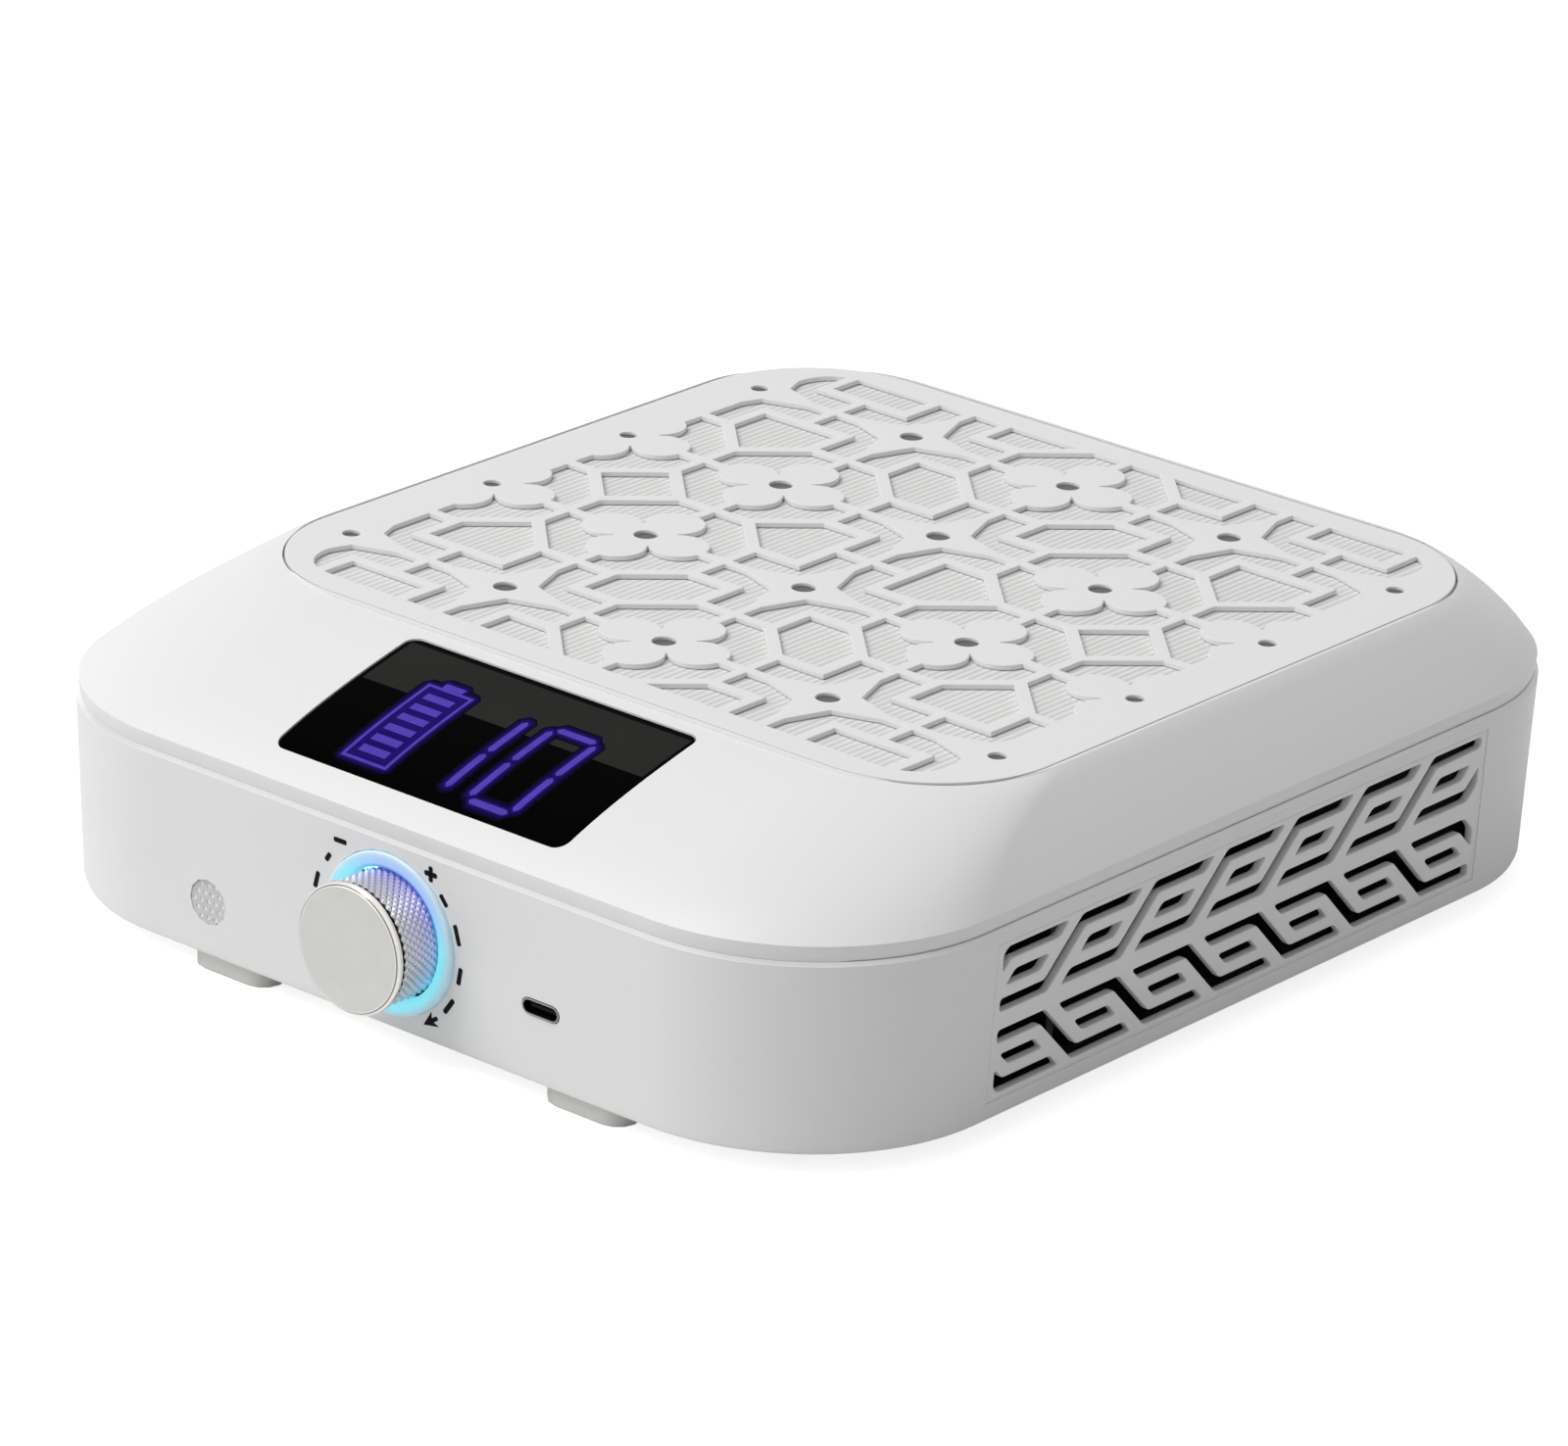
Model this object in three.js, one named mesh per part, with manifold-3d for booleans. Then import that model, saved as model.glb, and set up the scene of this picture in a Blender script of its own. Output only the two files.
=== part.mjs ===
// Desktop nail dust collector. A rounded housing holds a lattice grille over a pleated
// filter, a centrifugal fan that blows out through both sides, a display and a lit knob.
import * as THREE from "three";
import { mergeVertices } from "three/addons/utils/BufferGeometryUtils.js";
import Module from "manifold-3d";

const wasm = await Module();
wasm.setup();

// Housing outline, all lengths in millimetres
const bodyWidth = 210;
const bodyDepth = 237.6;
const cornerRadius = 43;
const footReveal = 4;
const baseHeight = 38;
const coverHeight = 18;
const wall = 2.5;
const baseDraft = 1.5;
const baseFillet = 1.2;
const edgeChamfer = 0.7;
const lipHeight = 2.9;
const lipDraft = 0.4;
const tongueDepth = 2.5;
const tongueRise = 0.35;
const tongueWall = 1.2;
const sideRun = 13.6;
const frontRun = 47;
const backRun = 15.8;
const sideBulgeShare = 0.15;
const frontBulgeShare = 0.5;
const backBulgeShare = 0.45;
const crownRadius = 33;
const crownRound = 0.5;
const crownRoundDepth = 0.35;

// Clearances
const partingGap = 0.4;
const seatGap = 0.3;
const pinGap = 0.15;
const slideGap = 0.6;
const cutOver = 2;

// Grille panel and its lattice
const latticePitch = 40;
const panelRimX = 1.4;
const panelRimY = 1.8;
const panelRadius = 28;
const panelThickness = 1.5;
const panelBorderX = 12.4;
const panelBorderY = 6.6;
const windowRadius = 9;
const ringInnerShare = 0.235;
const ringBarShare = 0.065;
const gridBarShare = 0.058;
const starLengthShare = 0.42;
const starWidthShare = 0.15;
const petalRadiusShare = 0.148;
const petalOffsetShare = 0.215;
const flowerCoreShare = 0.22;
const nodeHoleShare = 0.066;
const edgeHoleRadius = 2;
const latticeOverlap = 1.5;
const latticeColumns = 5;
const latticeRows = 4;

// Filter cartridge and the bay it drops into
const bayLedgeX = 10.1;
const bayLedgeY = 4.2;
const bayRadius = 5;
const ledgeThickness = 4;
const filterFrameWall = 2.2;
const filterRibHeight = 2;
const filterRibWidth = 3;
const filterRibShare = 0.33;
const pleatPitch = 2.15;
const pleatPaper = 0.2;
const gasketHeight = 1;
const gasketWidth = 3;
const trayWall = 2;
const trayFloor = 2.2;
const trayTabReach = 10.5;
const trayTabWidth = 10;

// Fan
const impellerRadius = 62;
const inletOverlap = 12;
const guardRingRadius = 28;
const guardBar = 2;
const bladeLength = 16;
const impellerPlate = 1.4;
const impellerRingWidth = 10;
const impellerRingHeight = 1.2;
const bladeCount = 24;
const bladeThickness = 1.2;
const bladeSweepShare = 0.07;
const tubeRiseShare = 0.68;
const hubOuterRadius = 24.3;
const hubWall = 1.5;
const canWall = 1.2;
const magnetRingWall = 1.8;
const airGap = 0.7;
const shaftRadius = 1.5;
const bearingOuterRadius = 4.1;
const bearingHeight = 3;
const bearingTubeWall = 1.3;
const motorFlangeRadius = 20;
const motorFlange = 2;
const scrollGap = 4;
const scrollWall = 2;
const ductHalfStart = 42;
const ductHalfEnd = 63;
const ductSideGap = 7;
const ductRootShare = 1.2;

// Levels of the fan stack above the housing floor
const fanPlateThickness = 2;
const impellerLift = 5.5;
const bladeHeight = 17.4;
const deckLift = 27;

// Side grille inserts
const insertBackGap = 2.2;
const insertFrontGap = 2.9;
const insertTopDrop = 3;
const insertBottomRise = 4;
const insertThickness = 2.2;
const insertSeat = 1;
const insertFrameWidth = 3;
const insertFrameDepth = 2;
const patternTopDrop = 4.2;
const patternFrontMargin = 1.8;
const patternBackMargin = 1.5;
const slotHeight = 2.5;
const slotLevels = 5;
const centreBarShare = 1.48;
const patternPitch = 21.15;
const patternLead = 13.4;
const diagonalWidth = 3.5;
const patternLand = 4;
const patternUnits = 7;

// Control knob, its light ring and the rotary switch behind it
const knobReach = 10.5;
const knobDrop = 18.7;
const capRadius = 12.7;
const capThickness = 1.8;
const capBevel = 1.3;
const gripRadius = 12.4;
const gripGroove = 0.45;
const gripTeeth = 32;
const gripRear = 1;
const gripWall = 1.3;
const gripWebBack = 6.2;
const gripWebFront = 7.6;
const gripHubRadius = 5.4;
const ringInner = 12.9;
const ringOuter = 15.7;
const ringNeckOuter = 14.1;
const ringProud = 0.5;
const ringSeatDepth = 1.6;
const ringBossRadius = 16.9;
const ringBossDepth = 4.6;
const ringNeckDepth = 3.4;
const ringPocketGap = 0.25;
const ledBoardFront = 6.1;
const ledBoardThickness = 1.6;
const ledBoardRadius = 16;
const ledSize = 3;
const ledHeight = 1.2;
const ledOrbit = 13.5;
const ledCount = 4;
const encoderHalf = 6.2;
const encoderDepth = 7;
const encoderBushingRadius = 4.5;
const encoderBushingFront = 3;
const encoderCavityDepth = 2;
const encoderPlungerRadius = 2.2;
const encoderPlungerHeight = 0.9;
const knobShaftRadius = 3;
const knobShaftFlat = 1.5;

// Charging socket and sounder port on the front wall
const socketX = 36.8;
const socketDrop = 22.7;
const socketWidth = 8.9;
const socketHeight = 3.2;
const socketDepth = 7.3;
const socketSkin = 0.35;
const socketTongueHeight = 0.7;
const socketTongueWidth = 6.4;
const socketBackWall = 1;
const portX = -46.3;
const portDrop = 26.8;
const portRadius = 4.4;
const portThickness = 1.2;
const portRecess = 1.3;
const portHoleRadius = 0.6;
const portHolePitch = 1.8;
const portHoleSides = 4;
const portCollarWall = 1.1;
const sounderRadius = 4.1;
const sounderFront = 4;
const sounderDepth = 4;
const sounderMouthRadius = 1.1;
const sounderMouthDepth = 1.5;

// Display in the front slope
const lensHalfX = 35.8;
const lensDrop = 6.4;
const lensLength = 35.8;
const lensRadius = 2.5;
const lensThickness = 2;
const lensGap = 0.25;
const lensLedge = 2.2;
const lensLedgeThickness = 1.6;
const displayHalfX = 31.5;
const displayHalfY = 14;
const displayHeight = 5;
const displayClearance = 0.3;
const displayTilt = 18.6;
const displayBackShare = 0.67;

// Boards and cells in the front compartment
const boardThickness = 1.6;
const boardLeft = 18;
const boardRight = 70;
const boardFrontInset = 5.4;
const boardBackGap = 9;
const boardPostRadius = 3;
const boardPostInset = 4;
const chipSide = 9;
const chipHeight = 1.2;
const capacitorRadius = 4;
const capacitorHeight = 10;
const cellRadius = 9.2;
const cellButtonRadius = 2.8;
const cellButtonHeight = 0.9;
const cellBackGap = 11.4;
const cellRowGap = 1;
const holderSideGap = 29;
const holderEncoderGap = 0.1;
const holderWall = 1.5;
const holderHeight = 11;
const holderFloor = 1.4;
const partitionWall = 2;
const partitionSideGap = 6.5;

// Feet, posts and screws
const footHalfLength = 10;
const footHalfWidth = 4.5;
const footX = 44;
const footInset = 8;
const footPlug = 0.7;
const casePostRadius = 4.2;
const caseBossRadius = 3.6;
const casePostFrontSide = 23;
const casePostFrontInset = 17.4;
const casePostBackSide = 17.5;
const casePostBackInset = 19.7;
const caseHeadRadius = 2.7;
const caseHeadHeight = 2;
const caseShankRadius = 1.4;
const caseBoreRadius = 3.1;
const caseShelfDrop = 8;
const caseScrewReach = 3.6;
const deckPostRadius = 3.8;
const deckPostEdge = 4;
const deckPostInset = 11;
const deckHeadRadius = 2.6;
const deckHeadHeight = 1.8;
const deckScrewReach = 8;

// Colours and finishes
const finishes = {
  white: { color: 0xe9e9e8, roughness: 0.42, metalness: 0 },
  offWhite: { color: 0xe2e1dd, roughness: 0.6, metalness: 0 },
  paper: { color: 0xf1efe9, roughness: 0.9, metalness: 0 },
  lens: { color: 0x08080c, roughness: 0.08, metalness: 0 },
  darkPlastic: { color: 0x2a2c2e, roughness: 0.55, metalness: 0 },
  foam: { color: 0x4a4d50, roughness: 0.95, metalness: 0 },
  rubber: { color: 0x5b5f55, roughness: 0.85, metalness: 0 },
  diffuser: { color: 0x8fe9ff, roughness: 0.35, metalness: 0 },
  steel: { color: 0xb9bbbd, roughness: 0.32, metalness: 0.9 },
  knobMetal: { color: 0xcfcdc8, roughness: 0.28, metalness: 0.95 },
  magnet: { color: 0x9a9ca0, roughness: 0.3, metalness: 0.9 },
  board: { color: 0x1d5c3a, roughness: 0.5, metalness: 0 },
  copper: { color: 0xb56a3a, roughness: 0.4, metalness: 0.8 },
  cell: { color: 0x2f6fb4, roughness: 0.4, metalness: 0 },
  led: { color: 0xf4f6e8, roughness: 0.3, metalness: 0 },
  portMesh: { color: 0x9d9f9a, roughness: 0.5, metalness: 0.3 },
};

// Segment counts
const cornerSteps = 6;
const slopeSteps = 5;
const filletSteps = 2;
const roundSteps = 24;
const smallSteps = 12;
const tinySteps = 6;
const petalSteps = 8;
const knobSteps = 24;
const cellSteps = 16;
const bladeSteps = 2;
const coreSteps = 4;
const scrollSteps = 36;
const sharpSteps = 2;
const hexSteps = 6;
const weldShare = 1e-6;
const weldDistance = bodyWidth * weldShare;
const cleanShare = 2.5e-5;
const cleanDistance = bodyWidth * cleanShare;

// Levels and lines shared by all pieces
const quarterTurn = Math.PI / 2;
const fullTurn = Math.PI * 2;
const baseZ = footReveal;
const partingZ = baseZ + baseHeight;
const topZ = partingZ + coverHeight;
const lipZ = partingZ + lipHeight;
const floorZ = baseZ + wall;
const frontY = knobReach - (bodyDepth + knobReach) / 2;
const backY = frontY + bodyDepth;
const crownFrontY = frontY + lipDraft + frontRun;
const crownBackY = backY - lipDraft - backRun;
const latticeY = (crownFrontY + crownBackY) / 2;
const panelHalfX = bodyWidth / 2 - lipDraft - sideRun - panelRimX;
const panelHalfY = (crownBackY - crownFrontY) / 2 - panelRimY;
const windowHalfX = panelHalfX - panelBorderX;
const windowHalfY = panelHalfY - panelBorderY;
const bayHalfX = panelHalfX - bayLedgeX;
const bayHalfY = panelHalfY - bayLedgeY;
const partitionFromLattice = bayHalfY + trayWall;
const partitionHalf = bodyWidth / 2 - partitionSideGap;
const lensTopFromLattice = panelHalfY + lensDrop;
const lensBottomFromLattice = lensTopFromLattice + lensLength;
const boardFront = latticeY - frontY - boardFrontInset;
const boardBack = partitionFromLattice + boardBackGap;
const cellRowBack = partitionFromLattice + cellBackGap;
const insertFront = latticeY - frontY - cornerRadius - insertFrontGap;
const insertBack = backY - latticeY - cornerRadius - insertBackGap;
const patternFront = insertFront - patternFrontMargin;
const patternBack = insertBack - patternBackMargin;
const firstDiagonal = patternFront - patternLead;
const inletRadius = impellerRadius - inletOverlap;
const impellerEyeRadius = impellerRadius - bladeLength;
const impellerRingInner = impellerRadius - impellerRingWidth;
const scrollInnerRadius = impellerRadius + scrollGap;
const ductReach = bodyWidth / 2 - ductSideGap;
const deckPostX = bayHalfX + trayWall + trayTabReach - deckPostEdge;
const deckPostY = bayHalfY - deckPostInset;
const panelZ = topZ - panelThickness;
const ledgeZ = panelZ - seatGap;
const ledgeUnderZ = ledgeZ - ledgeThickness;
const deckZ = floorZ + deckLift;
const deckTopZ = deckZ + trayFloor;
const filterZ = deckTopZ + seatGap + gasketHeight + seatGap;
const filterTopZ = panelZ - seatGap;
const knobZ = partingZ - knobDrop;
const socketZ = partingZ - socketDrop;
const portZ = partingZ - portDrop;

// Solid of a three.js geometry, joined at its shared points
function solidOf(geometry) {
  const bare = new THREE.BufferGeometry();
  bare.setAttribute("position", geometry.getAttribute("position").clone());
  if (geometry.index) {
    bare.setIndex(geometry.index.clone());
  }
  const joined = mergeVertices(bare, weldDistance);
  const mesh = new wasm.Mesh({
    numProp: 3,
    vertProperties: new Float32Array(joined.getAttribute("position").array),
    triVerts: new Uint32Array(joined.index.array),
  });
  mesh.merge();
  return new wasm.Manifold(mesh);
}

// Closed skin through a list of loops with the same number of points
function skinOf(loops) {
  const count = loops[0].length;
  const points = [];
  const faces = [];
  for (const loop of loops) {
    for (const point of loop) {
      points.push(point.x, point.y, point.z);
    }
  }
  for (let row = 0; row + 1 < loops.length; row += 1) {
    for (let i = 0; i < count; i += 1) {
      const next = (i + 1) % count;
      const a = row * count + i;
      const b = row * count + next;
      const c = a + count;
      const d = b + count;
      faces.push(a, b, d, a, d, c);
    }
  }
  const top = (loops.length - 1) * count;
  for (let i = 1; i + 1 < count; i += 1) {
    faces.push(0, i + 1, i);
    faces.push(top, top + i, top + i + 1);
  }
  const geometry = new THREE.BufferGeometry();
  geometry.setAttribute("position", new THREE.Float32BufferAttribute(points, 3));
  geometry.setIndex(faces);
  return solidOf(geometry);
}

// Points of a rounded rectangle, anticlockwise seen from above
function roundedOutline(left, right, front, back, radius, steps = cornerSteps) {
  const corners = [
    [right - radius, back - radius, 0],
    [left + radius, back - radius, quarterTurn],
    [left + radius, front + radius, quarterTurn * 2],
    [right - radius, front + radius, quarterTurn * 3],
  ];
  const outline = [];
  for (const [centreX, centreY, start] of corners) {
    for (let i = 0; i <= steps; i += 1) {
      const angle = start + (quarterTurn * i) / steps;
      const x = centreX + radius * Math.cos(angle);
      const y = centreY + radius * Math.sin(angle);
      outline.push(new THREE.Vector2(x, y));
    }
  }
  return outline;
}

// Housing solid from rows of level, inward steps of each side, and corner radius
function housingOf(rows) {
  const loops = rows.map((row) => {
    const half = bodyWidth / 2 - row.side;
    const outline = roundedOutline(-half, half, frontY + row.front, backY - row.back, row.radius);
    return outline.map((point) => new THREE.Vector3(point.x, point.y, row.z));
  });
  return skinOf(loops);
}

function evenRow(z, inset) {
  return { z, side: inset, front: inset, back: inset, radius: cornerRadius - inset };
}

// Straight prism over a flat outline
function prismOf(outline, bottom, top, holes = []) {
  const shape = new THREE.Shape(outline);
  for (const hole of holes) {
    shape.holes.push(new THREE.Path(hole));
  }
  const geometry = new THREE.ExtrudeGeometry(shape, { depth: top - bottom, bevelEnabled: false });
  geometry.translate(0, 0, bottom);
  return solidOf(geometry);
}

function boxOf(left, right, front, back, bottom, top) {
  const geometry = new THREE.BoxGeometry(right - left, back - front, top - bottom);
  geometry.translate((left + right) / 2, (front + back) / 2, (bottom + top) / 2);
  return solidOf(geometry);
}

function roundedBox(left, right, front, back, bottom, top, radius, steps = cornerSteps) {
  return prismOf(roundedOutline(left, right, front, back, radius, steps), bottom, top);
}

function discOf(x, y, bottom, top, radius, steps = roundSteps) {
  const geometry = new THREE.CylinderGeometry(radius, radius, top - bottom, steps);
  geometry.rotateX(quarterTurn);
  geometry.translate(x, y, (bottom + top) / 2);
  return solidOf(geometry);
}

function tubeOf(x, y, bottom, top, inner, outer, steps = roundSteps) {
  const core = discOf(x, y, bottom - cutOver, top + cutOver, inner, steps);
  return discOf(x, y, bottom, top, outer, steps).subtract(core);
}

// Turned piece about the z axis from a closed profile of radius and height
function turnedOf(profile, steps = roundSteps) {
  const closed = [...profile, profile[0]];
  const points = closed.map(([radius, height]) => new THREE.Vector2(radius, height));
  const geometry = new THREE.LatheGeometry(points, steps);
  geometry.rotateX(quarterTurn);
  const solid = solidOf(geometry);
  return solid.volume() < 0 ? solidOf(flipped(geometry)) : solid;
}

function flipped(geometry) {
  const index = Array.from(geometry.index.array);
  for (let i = 0; i < index.length; i += 3) {
    const kept = index[i];
    index[i] = index[i + 1];
    index[i + 1] = kept;
  }
  geometry.setIndex(index);
  return geometry;
}

function joinedOf(solids) {
  return solids.reduce((whole, solid) => whole.add(solid));
}

// Named mesh of a finished solid
const group = new THREE.Group();
group.name = "nail_dust_collector";

function piece(name, solid, finish) {
  const mesh = solid.asOriginal().simplify(cleanDistance).getMesh();
  const geometry = new THREE.BufferGeometry();
  geometry.setAttribute("position", new THREE.Float32BufferAttribute(mesh.vertProperties, 3));
  geometry.setIndex(new THREE.BufferAttribute(new Uint32Array(mesh.triVerts), 1));
  const faceted = geometry.toNonIndexed();
  faceted.computeVertexNormals();
  const node = new THREE.Mesh(faceted, new THREE.MeshStandardMaterial(finishes[finish]));
  node.name = name;
  group.add(node);
}

// Turns a solid built along +z so that it points out of the front wall at one place
function onFront(solid, x, z) {
  const facing = solid.rotate([90, 0, 0]);
  return facing.translate([x, frontY, z]);
}

// Housing base
function baseOuter() {
  const rows = [];
  for (let i = 0; i <= filletSteps; i += 1) {
    const angle = (quarterTurn * i) / filletSteps;
    const inset = baseDraft + baseFillet * (1 - Math.sin(angle));
    rows.push(evenRow(baseZ + baseFillet * (1 - Math.cos(angle)), inset));
  }
  rows.push(evenRow(partingZ - partingGap / 2 - edgeChamfer, 0));
  rows.push(evenRow(partingZ - partingGap / 2, edgeChamfer));
  return housingOf(rows);
}

function draftedHull(bottom, top, inset) {
  const draftAt = (z) => (baseDraft * (partingZ - z)) / baseHeight;
  return housingOf([evenRow(bottom, inset + draftAt(bottom)), evenRow(top, inset + draftAt(top))]);
}

// Inward step of a slope at a share of its height, straight part and curved part
function slopeInset(run, bulgeShare, heightShare) {
  return run * ((1 - bulgeShare) * heightShare + bulgeShare * heightShare * heightShare);
}

// Cover skin, lowered and moved inward by one step for its hollow and its display
function coverHull(inset, drop, startZ) {
  const rows = [evenRow(startZ, inset)];
  if (startZ < lipZ - drop) {
    const lip = evenRow(lipZ - drop, inset + lipDraft);
    rows.push(lip);
  }
  for (let i = 1; i <= slopeSteps; i += 1) {
    const heightShare = i / slopeSteps;
    const last = i === slopeSteps;
    const round = last ? crownRound : 0;
    const z = lipZ + (topZ - lipZ) * heightShare - drop;
    const row = {
      z,
      side: inset + lipDraft + round + slopeInset(sideRun, sideBulgeShare, heightShare),
      front: inset + lipDraft + slopeInset(frontRun, frontBulgeShare, heightShare),
      back: inset + lipDraft + round + slopeInset(backRun, backBulgeShare, heightShare),
      radius: cornerRadius + (crownRadius - cornerRadius) * heightShare - inset,
    };
    if (last) {
      const under = { ...row, z: z - crownRoundDepth, side: row.side - round, back: row.back - round };
      rows.push(under);
    }
    rows.push(row);
  }
  return housingOf(rows);
}

const baseHull = baseOuter();

function insertBlock(side, margin, inner, outer) {
  const near = bodyWidth / 2 - outer;
  const far = bodyWidth / 2 - inner;
  return boxOf(
    side > 0 ? near : -far,
    side > 0 ? far : -near,
    latticeY - insertFront - margin,
    latticeY + insertBack + margin,
    baseZ + insertBottomRise - margin,
    partingZ - insertTopDrop + margin,
  );
}

// Rim inside the seam that centres the cover and closes the view through the gap
function tongueRing() {
  const tongueInset = wall + lipDraft + seatGap;
  const inner = tongueInset + tongueWall;
  const bottom = partingZ - tongueDepth;
  const seam = partingZ - partingGap / 2;
  const top = partingZ + tongueRise;
  const lower = housingOf([evenRow(bottom, wall / 2 + baseDraft / 2), evenRow(seam, wall / 2)]);
  const upper = housingOf([evenRow(bottom, tongueInset), evenRow(top, tongueInset)]);
  const hollow = housingOf([evenRow(bottom - cutOver, inner), evenRow(top + cutOver, inner)]);
  return lower.add(upper).subtract(hollow);
}

function baseShell() {
  let shell = baseHull.subtract(draftedHull(floorZ, partingZ + cutOver, wall));
  shell = shell.add(tongueRing());
  const deep = wall + insertFrameDepth + cutOver;
  for (const side of [1, -1]) {
    const frameHull = draftedHull(floorZ - wall / 2, partingZ - partingGap, wall / 2);
    const frameCore = draftedHull(baseZ - cutOver, partingZ + cutOver, wall + insertFrameDepth);
    const frame = frameHull.subtract(frameCore);
    const frameBlock = insertBlock(side, insertFrameWidth - insertSeat, 0, deep);
    shell = shell.add(frame.intersect(frameBlock));
    const opening = insertBlock(side, seatGap, -cutOver, deep + cutOver);
    const openingSkin = opening.subtract(draftedHull(baseZ - cutOver, partingZ + cutOver, wall));
    shell = shell.subtract(openingSkin);
    shell = shell.subtract(insertBlock(side, -insertSeat, -cutOver, deep + cutOver));
  }
  // Post for each case screw, with the deep bore its head sits in
  const shelfZ = partingZ - caseShelfDrop;
  const hollow = draftedHull(baseZ + wall / 2, partingZ - partingGap / 2, wall / 2);
  for (const [x, y] of casePosts) {
    const top = partingZ - partingGap / 2;
    const post = discOf(x, y, baseZ + wall / 2, top, casePostRadius, tinySteps);
    shell = shell.add(post.intersect(hollow));
  }
  for (const [x, y] of casePosts) {
    const bore = discOf(x, y, baseZ - cutOver, shelfZ, caseBoreRadius, tinySteps);
    const shankBore = caseShankRadius + pinGap;
    const hole = discOf(x, y, shelfZ - cutOver, partingZ + cutOver, shankBore, tinySteps);
    shell = shell.subtract(bore).subtract(hole);
  }
  // Posts under the filter deck
  for (const [x, y] of deckPlaces) {
    const post = discOf(x, y, floorZ - wall / 2, deckZ - seatGap, deckPostRadius, tinySteps);
    const holeBottom = deckTopZ - deckScrewReach - seatGap;
    const hole = discOf(x, y, holeBottom, deckZ + cutOver, caseShankRadius + pinGap, tinySteps);
    shell = shell.add(post).subtract(hole);
  }
  // Partition between the fan and the electronics
  const partitionY = latticeY - partitionFromLattice;
  const partition = boxOf(
    -partitionHalf,
    partitionHalf,
    partitionY,
    partitionY + partitionWall,
    floorZ - wall / 2,
    deckZ - seatGap,
  );
  shell = shell.add(partition);
  // Posts under the main board
  for (const [x, y] of boardPlaces) {
    const top = boardZ - seatGap;
    const post = discOf(x, y, floorZ - wall / 2, top, boardPostRadius, tinySteps);
    const hole = discOf(x, y, top - wall, top + cutOver, shaftRadius, tinySteps);
    shell = shell.add(post).subtract(hole);
  }
  // Flat seat for the light ring
  const boss = onFront(discOf(0, 0, -ringBossDepth, -wall / 2, ringBossRadius), 0, knobZ);
  shell = shell.add(boss.intersect(draftedHull(floorZ - wall / 2, partingZ - partingGap, wall / 2)));
  const pocketRadius = ringOuter + ringPocketGap;
  const pocket = onFront(discOf(0, 0, -ringSeatDepth, cutOver, pocketRadius), 0, knobZ);
  const throughRadius = ringNeckOuter + seatGap;
  const through = onFront(discOf(0, 0, -ringBossDepth - cutOver, cutOver, throughRadius), 0, knobZ);
  shell = shell.subtract(pocket).subtract(through);
  // Charging opening and sounder port with its collar
  const socketCut = stadium(socketWidth + seatGap, socketHeight + seatGap, -wall - cutOver, cutOver);
  shell = shell.subtract(onFront(socketCut, socketX, socketZ));
  const collarOuter = sounderRadius + seatGap + portCollarWall;
  const collarBack = sounderFront + sounderDepth;
  const collar = discOf(0, 0, -collarBack, -wall / 2 - baseDraft, collarOuter, smallSteps);
  const portHole = discOf(0, 0, -collarBack - cutOver, cutOver, portRadius + pinGap, smallSteps);
  shell = shell.add(onFront(collar, portX, portZ)).subtract(onFront(portHole, portX, portZ));
  // Recesses the feet plug into
  for (const [x, y] of footPlaces) {
    shell = shell.subtract(footBlock(x, y, seatGap, baseZ - cutOver, baseZ + footPlug + seatGap));
  }
  return shell;
}

// Block with half-round ends, centred on the axis
function stadium(width, height, bottom, top) {
  const radius = height / 2;
  return roundedBox(-width / 2, width / 2, -radius, radius, bottom, top, radius, tinySteps / 2);
}

const casePosts = [];
const deckPlaces = [];
for (const side of [1, -1]) {
  casePosts.push([side * (bodyWidth / 2 - casePostFrontSide), frontY + casePostFrontInset]);
  casePosts.push([side * (bodyWidth / 2 - casePostBackSide), backY - casePostBackInset]);
  for (const end of [1, -1]) {
    deckPlaces.push([side * deckPostX, latticeY + end * deckPostY]);
  }
}

const boardZ = socketZ - socketHeight / 2 - seatGap - boardThickness;
const boardPlaces = [];
for (const x of [boardLeft + boardPostInset, boardRight - boardPostInset]) {
  for (const y of [latticeY - boardFront + boardPostInset, latticeY - boardBack - boardPostInset]) {
    boardPlaces.push([x, y]);
  }
}

const footPlaces = [];
for (const side of [1, -1]) {
  footPlaces.push([side * footX, frontY + footInset]);
  footPlaces.push([side * footX, backY - footInset]);
}

function footBlock(x, y, margin, bottom, top) {
  const radius = footHalfWidth + margin;
  const length = footHalfLength + margin;
  return roundedBox(x - length, x + length, y - radius, y + radius, bottom, top, radius, tinySteps / 2);
}

piece("base_shell", baseShell(), "white");

// Side grille inserts. The slots step down in five levels and run into slanting ones.
function slotOutlines(index) {
  const right = index * patternPitch - firstDiagonal;
  const nextRight = right + patternPitch;
  const highest = slotHeight * (slotLevels - 1);
  const top = slotHeight * slotLevels;
  const lowStart = right - patternPitch + patternLand;
  const highEnd = nextRight - diagonalWidth - patternLand + highest;
  const zigzag = [
    [lowStart, 0],
    [right, 0],
    [right + highest, highest],
    [highEnd, highest],
    [highEnd + slotHeight, top],
    [right - diagonalWidth + top, top],
    [right - diagonalWidth + slotHeight, slotHeight],
    [lowStart + slotHeight, slotHeight],
  ];
  const middle = slotHeight * 2;
  const over = slotHeight * 3;
  const start = right + patternLand;
  const end = nextRight - diagonalWidth - patternLand;
  const small = [
    [start + middle, middle],
    [end + middle, middle],
    [end + over, over],
    [start + over, over],
  ];
  return [zigzag, small];
}

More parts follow.
